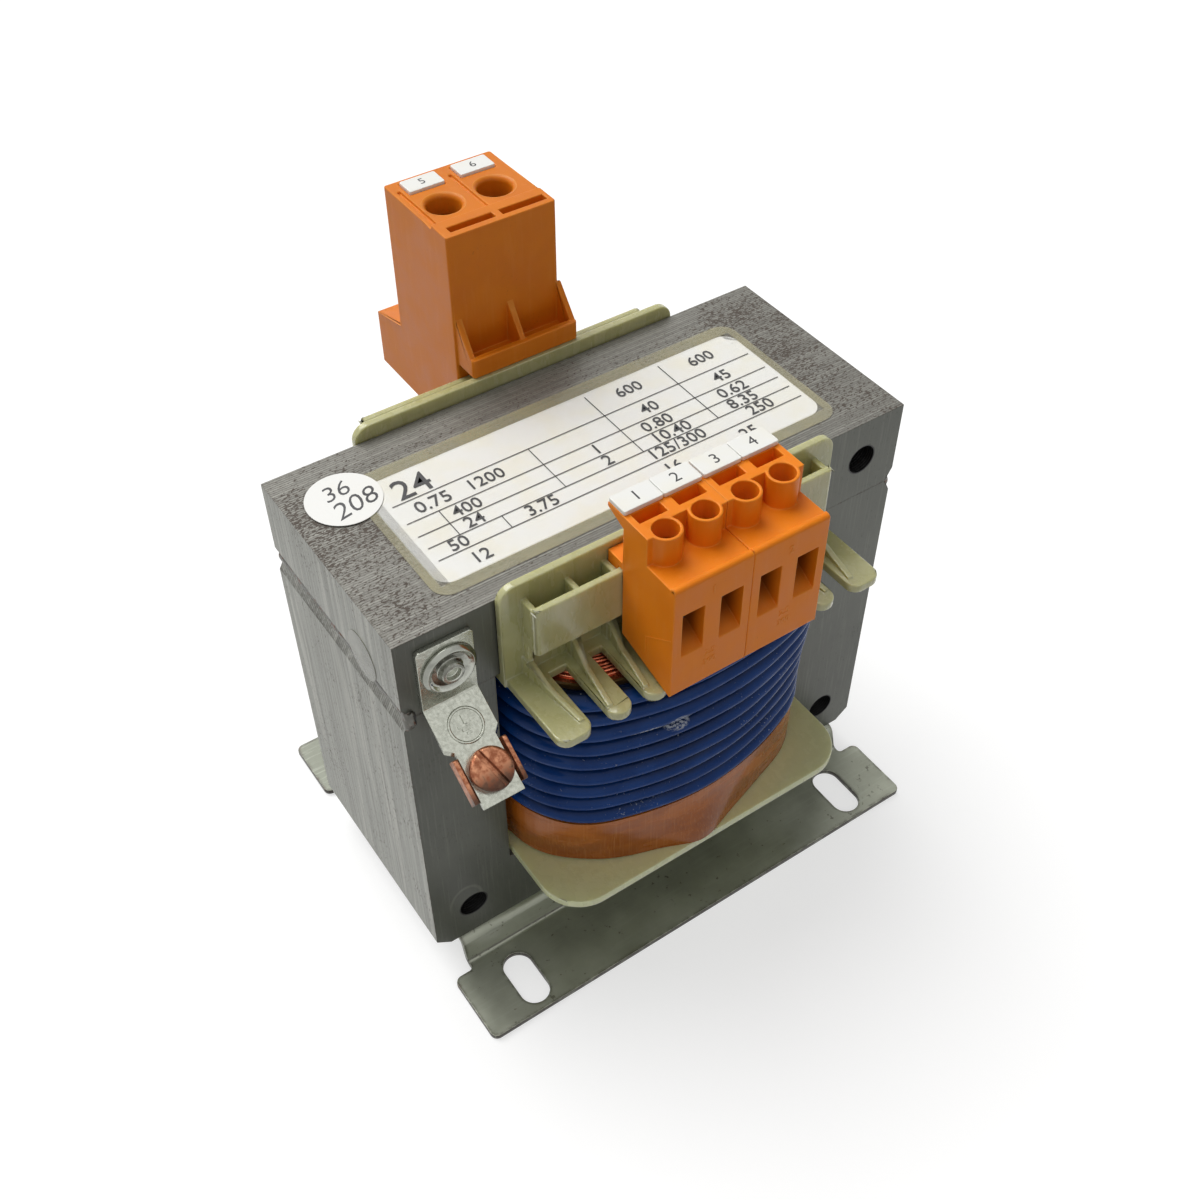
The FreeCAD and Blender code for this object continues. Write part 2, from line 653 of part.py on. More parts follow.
def thick_leads():
    """The two ends of the outer wire, up to where their insulation stops under the rear terminal."""
    x = -(rear_pin_reach() + THICK_CORE_RADIUS)
    leads = []
    for y, away in zip(rear_pole_positions(), (-THICK_LEAD_SWEEP, THICK_LEAD_SWEEP)):
        level = TURNS_TOP - TURN_PITCH / 2
        from_turn = Vector(-coil_surface(y + away) + THICK_LEAD_RADIUS, y + away, level)
        elbow = Vector(x, y, level)
        end = Vector(x, y, REAR_BOTTOM - THICK_LEAD_BELOW)
        leads.append(wire_run([from_turn, elbow, end], THICK_LEAD_RADIUS))
    return leads


def secondary_winding():
    """One layer of thick insulated wire, wound turn on turn, with its two ends."""
    profile = []
    for turn in range(TURN_COUNT - 1):
        profile.append((TURN_GROOVE, TURNS_BASE + turn * TURN_PITCH, TURN_GROOVE))
    profile.append((TURN_GROOVE, TURNS_TOP - TURN_PITCH, TURN_GROOVE))
    profile.append((TURN_GROOVE, TURNS_TOP - TURN_GROOVE / 2, TURN_GROOVE / 2))
    profile.append((TURN_DEPTH - TURN_GROOVE / 2, TURNS_TOP - TURN_GROOVE / 2))
    profile.append((TURN_DEPTH, TURNS_TOP - TURN_GROOVE))
    profile.append((TURN_DEPTH, TURNS_BASE))
    return fuse([wound_layer(profile)] + thick_leads())


def secondary_wire_ends():
    """The bare ends of the outer wire, side by side with the rear pins."""
    x = -(rear_pin_reach() + THICK_CORE_RADIUS)
    low = REAR_BOTTOM - THICK_LEAD_BELOW
    ends = [post(x, y, low, REAR_BOTTOM, THICK_CORE_RADIUS) for y in rear_pole_positions()]
    return Part.makeCompound(ends)


def layer_insulation():
    wrap = coil_block(TURN_DEPTH + WINDING_CLEARANCE, WINDING_BASE, UPPER_FLANGE - PRIMARY_TOP_GAP / 2)
    inside = coil_block(TURN_DEPTH + WINDING_CLEARANCE + LAYER_WRAP, WINDING_BASE - 1, JOINT)
    return wrap.cut(inside)


def front_poles():
    """The y of each pole of the two front terminals, two by two."""
    middle = (FRONT_MODULE_WIDTH + FRONT_MODULE_GAP) / 2
    pairs = []
    for side in (-1, 1):
        centre = FRONT_CENTRE_Y + side * middle
        pairs.append((centre, [centre - FRONT_PITCH / 2, centre + FRONT_PITCH / 2]))
    return pairs


def front_pole_positions():
    return [y for centre, poles in front_poles() for y in poles]


def front_pin_reach():
    """The back face of the pins under the front terminals."""
    return TERMINAL_BACK + FRONT_PIN_BACK


def comb_gap_near(y):
    """The middle of the space between two fingers that lies nearest to y."""
    gaps = [position + COMB_PITCH / 2 for position in comb_positions()[:-1]]
    return min(gaps, key=lambda gap: abs(gap - y))


def thin_leads():
    leads = []
    x = front_pin_reach() + PIN_THICKNESS / 2
    for y in front_pole_positions():
        gap = comb_gap_near(y)
        level = COMB_TOP + THIN_LEAD_LEVEL
        pin_end = Vector(x, y, COMB_TOP + FRONT_PIN_ABOVE_COMB)
        over = Vector(x, y, level)
        corner = Vector(x, gap, level)
        foot = Vector(x, gap, UPPER_FLANGE - PRIMARY_TOP_GAP - 1)
        leads.append(wire_run([pin_end, over, corner, foot], THIN_LEAD_RADIUS))
    return leads


def primary_winding():
    """The fine enamelled winding next to the tube, with its four ends."""
    depth = TURN_DEPTH + 2 * WINDING_CLEARANCE + LAYER_WRAP
    outer = coil_block(depth, WINDING_BASE, UPPER_FLANGE - PRIMARY_TOP_GAP)
    half_x = TUBE_OUTER_X + WINDING_CLEARANCE
    half_y = TUBE_OUTER_Y + WINDING_CLEARANCE
    inner = rounded_sheet(-half_x, half_x, -half_y, half_y, WINDING_BASE - 1, JOINT, TUBE_WALL)
    return fuse([outer.cut(inner)] + thin_leads())


def cage(x, y, base, depth, width, height, wall, screw_radius):
    """A clamp cage: a square loop open along X, its roof tapped for the screw."""
    loop = box(x - depth / 2, x + depth / 2, y - width / 2, y + width / 2, base, base + height)
    inside = box(
        x - depth, x + depth, y - width / 2 + wall, y + width / 2 - wall, base + wall, base + height - wall)
    return loop.cut([inside, post(x, y, base + wall, base + height + 1, screw_radius + THREAD_CLEARANCE)])


def cage_room(x, y, base, depth, width, height):
    """The chamber that a cage stands in."""
    half_x = depth / 2 + CAGE_CLEARANCE
    half_y = width / 2 + CAGE_CLEARANCE
    return box(x - half_x, x + half_x, y - half_y, y + half_y, base, base + height + CAGE_CLEARANCE)


def screw(x, y, top, head, head_height, radius, length, slot_width, slot_depth):
    """A slotted screw, upright, its head's top at the given level."""
    body = fuse([
        post(x, y, top - head_height, top, head),
        post(x, y, top - head_height - length, top - head_height, radius),
    ])
    slot = box(x - head - 1, x + head + 1, y - slot_width / 2, y + slot_width / 2, top - slot_depth, top + 1)
    return body.cut(slot)


def hook(pocket_y, back):
    """The tenon of a terminal: over the pocket's front wall and down into the pocket."""
    half = (COMB_PITCH - RIB_THICKNESS) / 2 - TENON_CLEARANCE
    inner = RAIL_OUTER + TENON_CLEARANCE
    seat = CORE_TOP + TERMINAL_SEAT_GAP
    bridge = box(inner, back + 1, pocket_y - half, pocket_y + half, seat, CORE_TOP + TENON_RISE)
    outer = RAIL_OUTER + POCKET_DEPTH - TENON_CLEARANCE
    leg = box(inner, outer, pocket_y - half, pocket_y + half, CORE_TOP - TENON_LENGTH, seat)
    return [bridge, leg]


def front_terminal(centre, poles, pocket_y):
    half = FRONT_MODULE_WIDTH / 2
    outline = [
        (TERMINAL_BACK, FRONT_BOTTOM + FRONT_SLANT_RISE),
        (FRONT_REACH, FRONT_BOTTOM),
        (FRONT_REACH, FRONT_DECK + FRONT_RIM_HEIGHT),
        (FRONT_REACH - FRONT_RIM_WIDTH, FRONT_DECK + FRONT_RIM_HEIGHT),
        (FRONT_REACH - FRONT_RIM_WIDTH, FRONT_DECK),
        (FRONT_BODY_REACH, FRONT_DECK),
        (FRONT_BODY_REACH, FRONT_TOP),
        (WING_TIP, FRONT_TOP),
        (WING_TIP, FRONT_TOP - WING_TIP_THICKNESS),
        (TERMINAL_BACK, FRONT_TOP - WING_ROOT_THICKNESS),
    ]
    body = prism_y(outline, centre - half, centre + half)
    body = round_edges(body, FRONT_EDGE, Vector(0, 1, 0), lambda c: c.x > FRONT_REACH - 0.01)
    additions = [body]
    for y in poles:
        additions.append(post(TOWER_REACH, y, FRONT_DECK - 1, FRONT_TOP, TOWER_OUTER))
        outward = 1 if y > centre else -1
        edge = centre + outward * half
        tower_side = y + outward * TOWER_OUTER * 0.6
        cheek = box(
            FRONT_BODY_REACH - 1, FRONT_CHEEK_REACH, min(edge, tower_side), max(edge, tower_side),
            FRONT_DECK - 1, FRONT_TOP)
        additions.append(cheek)
    additions += hook(pocket_y, TERMINAL_BACK)
    housing = fuse(additions)
    cuts = []
    room_front = TOWER_REACH + FRONT_CAGE_DEPTH / 2
    pin_back = front_pin_reach()
    pin_floor = FRONT_CAGE_BASE + FRONT_CAGE_WALL
    entry_top = FRONT_TOP - ENTRY_BELOW_TOP
    entry_floor = entry_top - ENTRY_HEIGHT
    pocket_end = TOP_POCKET_REACH + TOP_POCKET_DEPTH
    for y in poles:
        cuts.append(post(TOWER_REACH, y, FRONT_CAGE_BASE + 1, FRONT_TOP + 1, TOWER_BORE))
        cuts.append(cage_room(
            TOWER_REACH, y, FRONT_CAGE_BASE, FRONT_CAGE_DEPTH, FRONT_CAGE_WIDTH, FRONT_CAGE_HEIGHT))
        funnel = [
            (room_front, entry_floor + ENTRY_FUNNEL),
            (FRONT_REACH, entry_floor),
            (FRONT_REACH + 1, entry_floor),
            (FRONT_REACH + 1, entry_top),
            (room_front, entry_top),
        ]
        cuts.append(prism_y(funnel, y - ENTRY_WIDTH / 2, y + ENTRY_WIDTH / 2))
        half_pocket = TOP_POCKET_WIDTH / 2
        cuts.append(box(
            TOP_POCKET_REACH, pocket_end, y - half_pocket, y + half_pocket,
            FRONT_TOP - TOP_POCKET_SINK, FRONT_TOP + 1))
        half_pin = FRONT_PIN_WIDTH / 2 + CAGE_CLEARANCE
        pin_room = pin_floor + PIN_THICKNESS + CAGE_CLEARANCE
        cuts.append(box(
            pin_back - CAGE_CLEARANCE, pin_back + PIN_THICKNESS + CAGE_CLEARANCE,
            y - half_pin, y + half_pin, FRONT_BOTTOM - 1, pin_room))
        cuts.append(box(pin_back, TOWER_REACH, y - half_pin, y + half_pin, pin_floor, pin_room))
    return housing.cut(cuts)


def front_clamp_cages():
    return Part.makeCompound([
        cage(TOWER_REACH, y, FRONT_CAGE_BASE, FRONT_CAGE_DEPTH, FRONT_CAGE_WIDTH, FRONT_CAGE_HEIGHT,
             FRONT_CAGE_WALL, FRONT_SCREW_RADIUS)
        for y in front_pole_positions()
    ])


def front_clamp_screws():
    top = FRONT_TOP - FRONT_SCREW_SINK
    return Part.makeCompound([
        screw(TOWER_REACH, y, top, FRONT_SCREW_HEAD, FRONT_SCREW_HEAD_HEIGHT, FRONT_SCREW_RADIUS,
              FRONT_SCREW_LENGTH, FRONT_SCREW_SLOT_WIDTH, FRONT_SCREW_SLOT_DEPTH)
        for y in front_pole_positions()
    ])


def front_contact_pins():
    """Angled pins: flat on the cage's floor, then down behind it to the winding's ends."""
    back = front_pin_reach()
    floor = FRONT_CAGE_BASE + FRONT_CAGE_WALL
    half = FRONT_PIN_WIDTH / 2
    pins = []
    for y in front_pole_positions():
        tip = TOWER_REACH + FRONT_CAGE_DEPTH / 3
        flat = box(back, tip, y - half, y + half, floor, floor + PIN_THICKNESS)
        low = COMB_TOP + FRONT_PIN_ABOVE_COMB
        upright = box(back, back + PIN_THICKNESS, y - half, y + half, low, floor + PIN_THICKNESS)
        pins.append(fuse([flat, upright]))
    return Part.makeCompound(pins)


def front_marker(y):
    half = (FRONT_PITCH - MARKER_GAP) / 2
    return rounded_sheet(
        WING_TIP, FRONT_MARKER_REACH, y - half, y + half,
        FRONT_TOP, FRONT_TOP + MARKER_THICKNESS, MARKER_CORNER)


def rear_terminal():
    """The tall housing behind the core, drawn on the +X side and turned over to the rear."""
    y0 = REAR_CENTRE_Y - REAR_WIDTH / 2
    y1 = REAR_CENTRE_Y + REAR_WIDTH / 2
    hood_top = CORE_TOP - REAR_HOOD_BELOW_CORE
    bar_top = REAR_TOP + REAR_BAR_RISE
    outline = [
        (TERMINAL_BACK, REAR_BOTTOM + REAR_HEEL_RISE),
        (TERMINAL_BACK + REAR_HEEL_RUN, REAR_BOTTOM),
        (REAR_HOOD_REACH, REAR_BOTTOM),
        (REAR_HOOD_REACH, hood_top - REAR_HOOD_SLOPE),
        (REAR_BODY_REACH, hood_top),
        (REAR_BODY_REACH, REAR_TOP),
        (TERMINAL_BACK + REAR_BAR_WIDTH, REAR_TOP),
        (TERMINAL_BACK + REAR_BAR_WIDTH, bar_top),
        (TERMINAL_BACK, bar_top),
    ]
    body = prism_y(outline, y0, y1)
    outer_face = REAR_HOOD_REACH - 0.01
    body = round_edges(body, REAR_EDGE, Vector(0, 0, 1), lambda c: c.z > hood_top or c.x > outer_face)
    lip_base = RAIL_TOP + TERMINAL_SEAT_GAP
    lip_top = lip_base + REAR_LIP_ABOVE_RAIL
    lip_inner = REAR_LIP_REACH + REAR_LIP_WALL
    lip = box(REAR_LIP_REACH, lip_inner, REAR_LIP_LEFT, REAR_LIP_RIGHT, lip_base, lip_top)
    lip = round_edges(lip, REAR_LIP_WALL * 0.5, Vector(0, 0, 1), lambda c: c.x < REAR_LIP_REACH + 0.01)
    floor = box(
        lip_inner - 0.5, TERMINAL_BACK + 0.5, REAR_LIP_LEFT, REAR_LIP_RIGHT,
        lip_base, lip_base + REAR_LIP_WALL)
    gusset = [
        (lip_inner - 0.5, lip_base),
        (lip_inner - 0.5, lip_top),
        (TERMINAL_BACK, lip_top + REAR_GUSSET_RISE),
        (TERMINAL_BACK + 0.5, lip_top + REAR_GUSSET_RISE),
        (TERMINAL_BACK + 0.5, lip_base),
    ]
    additions = [body, lip, floor]
    last = REAR_LIP_RIGHT - REAR_GUSSET
    for y in (REAR_LIP_LEFT, (REAR_LIP_LEFT + last) / 2, last):
        additions.append(prism_y(gusset, y, y + REAR_GUSSET))
    for pocket_y in (-COMB_PITCH / 2, COMB_PITCH / 2):
        additions += hook(pocket_y, TERMINAL_BACK)
    housing = fuse(additions)
    cuts = []
    for y_edge, inward in ((y0, 1), (y1, -1)):
        step = [
            (REAR_BODY_REACH, hood_top),
            (REAR_BODY_REACH - REAR_SLANT_RUN, hood_top - REAR_SLANT_DROP),
            (REAR_BODY_REACH - REAR_SLANT_RUN, REAR_BOTTOM - 1),
            (REAR_HOOD_REACH + 1, REAR_BOTTOM - 1),
            (REAR_HOOD_REACH + 1, hood_top),
        ]
        inside = y_edge + inward * REAR_HOOD_INSET
        outside = y_edge - inward
        cuts.append(prism_y(step, min(inside, outside), max(inside, outside)))
    entry_base = REAR_BOTTOM + REAR_ENTRY_FLOOR
    pin_floor = REAR_CAGE_BASE + REAR_CAGE_WALL
    pin_outer = rear_pin_reach()
    for y in rear_pole_positions():
        cuts.append(post(REAR_HOLE_REACH, y, REAR_CAGE_BASE + 1, REAR_TOP + 1, REAR_HOLE_RADIUS))
        cuts.append(cage_room(
            REAR_HOLE_REACH, y, REAR_CAGE_BASE, REAR_CAGE_DEPTH, REAR_CAGE_WIDTH, REAR_CAGE_HEIGHT))
        cuts.append(box(
            REAR_HOLE_REACH, REAR_HOOD_REACH + 1, y - REAR_ENTRY_WIDTH / 2, y + REAR_ENTRY_WIDTH / 2,
            entry_base, entry_base + REAR_ENTRY_HEIGHT))
        half_pin = REAR_PIN_WIDTH / 2 + CAGE_CLEARANCE
        cuts.append(box(
            pin_outer - PIN_THICKNESS - CAGE_CLEARANCE, pin_outer + CAGE_CLEARANCE,
            y - half_pin, y + half_pin, REAR_BOTTOM - 1, pin_floor + PIN_THICKNESS + CAGE_CLEARANCE))
        slit_y = y + REAR_SLIT_SHIFT
        cuts.append(box(
            REAR_SLIT_REACH, REAR_SLIT_REACH + REAR_SLIT_WIDTH,
            slit_y - REAR_SLIT_LENGTH / 2, slit_y + REAR_SLIT_LENGTH / 2,
            bar_top - REAR_SLIT_SINK, bar_top + 1))
        tag_y = y + REAR_TAG_SHIFT
        tray_x = REAR_TAG_WIDTH / 2 + MARKER_GAP
        tray_y = REAR_TAG_LENGTH / 2 + MARKER_GAP
        cuts.append(box(
            REAR_TAG_REACH - tray_x, REAR_TAG_REACH + tray_x, tag_y - tray_y, tag_y + tray_y,
            REAR_TOP - REAR_TAG_RECESS, REAR_TOP + 1))
        groove_y = y - GROOVE_FROM_HOLE
        cuts.append(box(
            TERMINAL_BACK + REAR_BAR_WIDTH, REAR_TAG_REACH, groove_y - GROOVE_WIDTH / 2,
            groove_y + GROOVE_WIDTH / 2, REAR_TOP - GROOVE_SINK, REAR_TOP + 1))
    return to_rear(housing.cut(cuts))


def rear_clamp_cages():
    return Part.makeCompound([
        to_rear(cage(REAR_HOLE_REACH, y, REAR_CAGE_BASE, REAR_CAGE_DEPTH, REAR_CAGE_WIDTH, REAR_CAGE_HEIGHT,
                     REAR_CAGE_WALL, REAR_SCREW_RADIUS))
        for y in rear_pole_positions()
    ])


def rear_clamp_screws():
    top = REAR_TOP - REAR_SCREW_SINK
    return Part.makeCompound([
        to_rear(screw(REAR_HOLE_REACH, y, top, REAR_SCREW_HEAD, REAR_SCREW_HEAD_HEIGHT, REAR_SCREW_RADIUS,
                      REAR_SCREW_LENGTH, REAR_SCREW_SLOT_WIDTH, REAR_SCREW_SLOT_DEPTH))
        for y in rear_pole_positions()
    ])


def rear_contact_pins():
    """Angled pins: flat on the cage's floor, then down to the bare ends of the outer wire."""
    outer = rear_pin_reach()
    floor = REAR_CAGE_BASE + REAR_CAGE_WALL
    half = REAR_PIN_WIDTH / 2
    low = REAR_BOTTOM - REAR_PIN_BELOW
    pins = []
    for y in rear_pole_positions():
        flat = box(
            REAR_HOLE_REACH - REAR_CAGE_DEPTH / 3, outer, y - half, y + half, floor, floor + PIN_THICKNESS)
        upright = box(outer - PIN_THICKNESS, outer, y - half, y + half, low, floor + PIN_THICKNESS)
        pins.append(to_rear(fuse([flat, upright])))
    return Part.makeCompound(pins)


def rear_marker(pole_y):
    y = pole_y + REAR_TAG_SHIFT
    base = REAR_TOP - REAR_TAG_RECESS
    return to_rear(rounded_sheet(
        REAR_TAG_REACH - REAR_TAG_WIDTH / 2, REAR_TAG_REACH + REAR_TAG_WIDTH / 2,
        y - REAR_TAG_LENGTH / 2, y + REAR_TAG_LENGTH / 2, base, base + MARKER_THICKNESS, MARKER_CORNER))


def on_tab(shape):
    """Carry a shape drawn flat, with the tab's leg along +X from the fold, to its place on the tab."""
    shape.rotate(Vector(0, 0, 0), Vector(0, 1, 0), TAB_ANGLE)
    shape.translate(Vector(TAB_MIDDLE_X, TAB_CENTRE_Y + TAB_NECK_SHIFT, TAB_BEND_LEVEL))
    return shape


def earth_tab():
    lean = math.radians(TAB_ANGLE)
    tip = (TAB_MIDDLE_X + TAB_LEG * math.cos(lean), TAB_BEND_LEVEL - TAB_LEG * math.sin(lean))
    top = CORE_TOP - TAB_BELOW_CORE_TOP
    half = TAB_WIDTH / 2
    neck = TAB_NECK_WIDTH / 2
    neck_y = TAB_CENTRE_Y + TAB_NECK_SHIFT
    corners = [(TAB_MIDDLE_X, top), (TAB_MIDDLE_X, TAB_BEND_LEVEL), tip]
    sheet = bent_sheet(corners, TAB_SHEET, TAB_BEND, TAB_CENTRE_Y - half, TAB_CENTRE_Y + half)
    sheet = round_edges(sheet, TAB_CORNER, Vector(1, 0, 0), lambda c: c.z > top - 0.01)
    cuts = []
    for side in (-1, 1):
        waist = [
            (TAB_SHOULDER_REACH, TAB_CENTRE_Y + side * (half + 1)),
            (TAB_SHOULDER_REACH, TAB_CENTRE_Y + side * half),
            (TAB_SHOULDER_REACH + TAB_SHOULDER_RUN, neck_y + side * neck),
            (tip[0] + 2, neck_y + side * neck),
            (tip[0] + 2, TAB_CENTRE_Y + side * (half + 1)),
        ]
        cuts.append(prism_z(waist, tip[1] - 2, TAB_BEND_LEVEL))
    cuts.append(rod_along_x(
        STACK_HALF - 1, STACK_HALF + TAB_SHEET + 1, -HOLE_REACH_Y, UPPER_HOLE_LEVEL, CORE_HOLE / 2))
    cuts.append(on_tab(post(TAB_SCREW_AT, 0, -2, 2, EARTH_SCREW_HOLE)))
    return sheet.cut(cuts)


def earth_rivet():
    """A drawn rivet with a domed head and the ring left by its mandrel."""
    face = STACK_HALF + TAB_SHEET
    half_way = RIVET_HEAD_HEIGHT * 0.62
    outline = [
        (-RIVET_LENGTH, 0),
        (-RIVET_LENGTH, CORE_HOLE / 2 - RIVET_CLEARANCE),
        (0, CORE_HOLE / 2 - RIVET_CLEARANCE),
        (0, RIVET_HEAD),
        (RIVET_RIM, RIVET_HEAD),
        (half_way, RIVET_HEAD * 0.86),
        (RIVET_RIM, RIVET_HEAD * 0.66),
        (RIVET_RIM, RIVET_RING * 1.05),
        (RIVET_HEAD_HEIGHT, RIVET_RING * 0.9),
        (RIVET_HEAD_HEIGHT, RIVET_BORE),
        (RIVET_HEAD_HEIGHT - RIVET_BORE_DEPTH, RIVET_BORE),
        (RIVET_HEAD_HEIGHT - RIVET_BORE_DEPTH, 0),
    ]
    axis_y = -HOLE_REACH_Y
    profile = face_of([Vector(face + x, axis_y + r, UPPER_HOLE_LEVEL) for x, r in outline])
    return profile.revolve(Vector(face, axis_y, UPPER_HOLE_LEVEL), Vector(1, 0, 0), 360)


def earth_clamp_plate():
    """A channel under the tab, tapped for the screw, its two sides standing up beside the neck."""
    inner = TAB_NECK_WIDTH / 2 + CLAMP_LUG_GAP
    outer = inner + CLAMP_LUG
    low = -TAB_SHEET / 2 - CLAMP_PLATE
    high = TAB_SHEET / 2 + CLAMP_LUG_RISE
    block = box(CLAMP_FROM, CLAMP_TO, -outer, outer, low, high)
    block = round_edges(block, 0.5, Vector(0, 1, 0), lambda c: c.z > high - 0.01)
    room = box(CLAMP_FROM - 1, CLAMP_TO + 1, -inner, inner, -TAB_SHEET / 2, high + 1)
    tapped = post(TAB_SCREW_AT, 0, low - 1, 0, EARTH_SCREW_RADIUS + THREAD_CLEARANCE)
    return on_tab(block.cut([room, tapped]))


def earth_screw():
    top = TAB_SHEET / 2 + EARTH_SCREW_HEAD_HEIGHT
    raw = screw(
        0, 0, top, EARTH_SCREW_HEAD, EARTH_SCREW_HEAD_HEIGHT, EARTH_SCREW_RADIUS, EARTH_SCREW_LENGTH,
        EARTH_SLOT_WIDTH, EARTH_SLOT_DEPTH)
    rim = []
    for edge in raw.Edges:
        if isinstance(edge.Curve, Part.Circle) and abs(edge.CenterOfMass.z - top) < 0.01:
            rim.append(edge)
    raw = raw.makeFillet(EARTH_SCREW_HEAD_HEIGHT * 0.35, rim)
    raw.rotate(Vector(0, 0, 0), Vector(0, 0, 1), EARTH_SLOT_TURN)
    raw.translate(Vector(TAB_SCREW_AT, 0, 0))
    return on_tab(raw)


def rating_label_paper():
    return rounded_sheet(
        LABEL_BACK, LABEL_FRONT, -LABEL_HALF_LENGTH, LABEL_HALF_LENGTH,
        CORE_TOP, CORE_TOP + LABEL_SHEET, LABEL_CORNER)


def rating_label_film():
    half = LABEL_HALF_LENGTH + FILM_MARGIN_SIDE
    base = CORE_TOP + LABEL_SHEET
    return rounded_sheet(
        LABEL_BACK - FILM_MARGIN_BACK, LABEL_FRONT + FILM_MARGIN_FRONT, -half, half,
        base, base + LABEL_SHEET, LABEL_CORNER)


def round_sticker():
    base = CORE_TOP + 2 * LABEL_SHEET
    return post(STICKER_X, STICKER_Y, base, base + LABEL_SHEET, STICKER_RADIUS)


def clear_seal_dot():
    centre = Vector(SEAL_X, -HALF_WIDTH, JOINT + SEAL_ABOVE_JOINT)
    return Part.makeCylinder(SEAL_RADIUS, LABEL_SHEET, centre, Vector(0, -1, 0))


def save(name, shape):
    shape.exportStep("parts/" + name + ".step")


def main():
    os.makedirs("parts", exist_ok=True)
    foot = front_foot()
    pieces = {
        "e_lamination_stack": e_lamination_stack(),
        "i_lamination_stack": i_lamination_stack(),
        "left_weld_seam": weld_seam(-1),
        "right_weld_seam": weld_seam(1),
        "front_foot": foot,
        "rear_foot": to_rear(foot),
        "bobbin": bobbin(),
        "primary_winding": primary_winding(),
        "layer_insulation": layer_insulation(),
        "margin_tape": margin_tape(),
        "secondary_winding": secondary_winding(),
        "secondary_wire_ends": secondary_wire_ends(),
        "front_clamp_cages": front_clamp_cages(),
        "front_clamp_screws": front_clamp_screws(),
        "front_contact_pins": front_contact_pins(),
        "rear_terminal": rear_terminal(),
        "rear_clamp_cages": rear_clamp_cages(),
        "rear_clamp_screws": rear_clamp_screws(),
        "rear_contact_pins": rear_contact_pins(),
        "earth_tab": earth_tab(),
        "earth_rivet": earth_rivet(),
        "earth_clamp_plate": earth_clamp_plate(),
        "earth_screw": earth_screw(),
        "rating_label_paper": rating_label_paper(),
        "rating_label_film": rating_label_film(),
        "round_sticker": round_sticker(),
        "clear_seal_dot": clear_seal_dot(),
    }
    outer_pocket = COMB_PITCH * 1.5
    for side, (centre, poles) in zip((-1, 1), front_poles()):
        name = "front_terminal_left" if side < 0 else "front_terminal_right"
        pieces[name] = front_terminal(centre, poles, side * outer_pocket)
    for number, y in enumerate(front_pole_positions()):
        pieces["front_marker_" + str(number + 1)] = front_marker(y)
    for name, y in zip(("rear_marker_left", "rear_marker_right"), rear_pole_positions()):
        pieces[name] = rear_marker(y)
    for name, shape in pieces.items():
        print(name, shape.isValid(), len(shape.Solids), round(shape.Volume, 1))
        save(name, shape)


main()
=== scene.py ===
import math

import bmesh
import bpy
from mathutils import Matrix, Vector, noise


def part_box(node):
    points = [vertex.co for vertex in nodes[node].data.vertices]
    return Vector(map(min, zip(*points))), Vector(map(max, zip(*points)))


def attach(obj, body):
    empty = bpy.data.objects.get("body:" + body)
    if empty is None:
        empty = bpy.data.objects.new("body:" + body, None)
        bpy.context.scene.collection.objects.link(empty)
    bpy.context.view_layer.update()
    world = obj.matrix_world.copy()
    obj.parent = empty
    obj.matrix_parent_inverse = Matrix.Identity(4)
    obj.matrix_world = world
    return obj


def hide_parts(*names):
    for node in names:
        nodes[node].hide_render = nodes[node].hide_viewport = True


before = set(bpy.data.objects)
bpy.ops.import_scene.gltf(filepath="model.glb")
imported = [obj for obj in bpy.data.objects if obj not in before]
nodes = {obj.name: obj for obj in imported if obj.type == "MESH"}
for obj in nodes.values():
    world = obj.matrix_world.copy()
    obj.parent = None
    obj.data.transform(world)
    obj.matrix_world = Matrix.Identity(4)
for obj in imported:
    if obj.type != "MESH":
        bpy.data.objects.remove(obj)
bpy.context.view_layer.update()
MM = 0.001

# Sizes in millimetres and angles in degrees, as on the drawing of the part

SHEET_PITCH = 0.5
HOLE_REACH = 43.75
HOLE_MIDDLE = 50.55
HOLE_SPREAD = 35.0
COIL_CROWN = 62.0
COIL_CROWN_X = -21.7
COIL_CORNER = 19.0
COIL_CORNER_PLACE = (18.75, 14.6)
TURNS_BASE = 39.0
TURN_PITCH = 3.92
TURN_COUNT = 9
TURN_SLICES = 7
GROOVE_DEPTH = 1.15
TAB_FOLD = (23.5, -43.8, 77.8)
TAB_ANGLE = 33.0
TABLE_ROWS = (-4.8, 0.2, 3.9, 7.2, 10.6)
TABLE_START = -37.0
TABLE_END = 38.7
FRONT_POLES = (-10.085, -2.465, 5.365, 12.985)
REAR_BORE_REACH = -40.3
REAR_BORES = (-3.95, 6.55)
COLLAR_RIM = (
    (3.83, 119.2), (3.15, 119.2), (3.15, 122.0), (3.22, 122.4), (3.42, 122.74), (3.72, 122.95),
    (4.05, 123.02), (3.83, 122.6))
TAPE_BASE = 26.4
FINE_TURN_COUNT = 9
FINE_TURN_LEVEL = 73.95
FINE_TURN_RADIUS = 6.6
FINE_TURN_PITCH = 0.78
FINE_WIRE_RADIUS = 0.34
BLOB_PLACE = (22.9, -51.3, 76.6)
BLOB_SHAPE = (1.3, 1.2, 2.0)
PRINT_RISE = 0.012
LINE_WIDTH = 0.16

# Where a finish, a painted shade or a painted light changes: between the two sizes of a pair, or in
# an oval (middle, radii)

FUNNEL_MIDDLE = 90.2
FUNNEL_SIDES = (2.5, 2.3)
FUNNEL_ENDS = (5.0, 4.8)
FUNNEL_MOUTH = (42.9, 39.0)
FUNNEL_BACK = (33.5, 34.5)
FLANGE_TOP = (27.6, 26.0)
CUT_EDGE_TOP = (2.0, 1.5)
ARCH_PLACE = (-45.2, 17.6)
ARCH_RADIUS = 3.4
RUBBED_SPOT = ((-8.6, 62.9), (3.1, 1.9))
DASHED_SPOT = ((-14.5, 63.6), (3.6, 0.7))

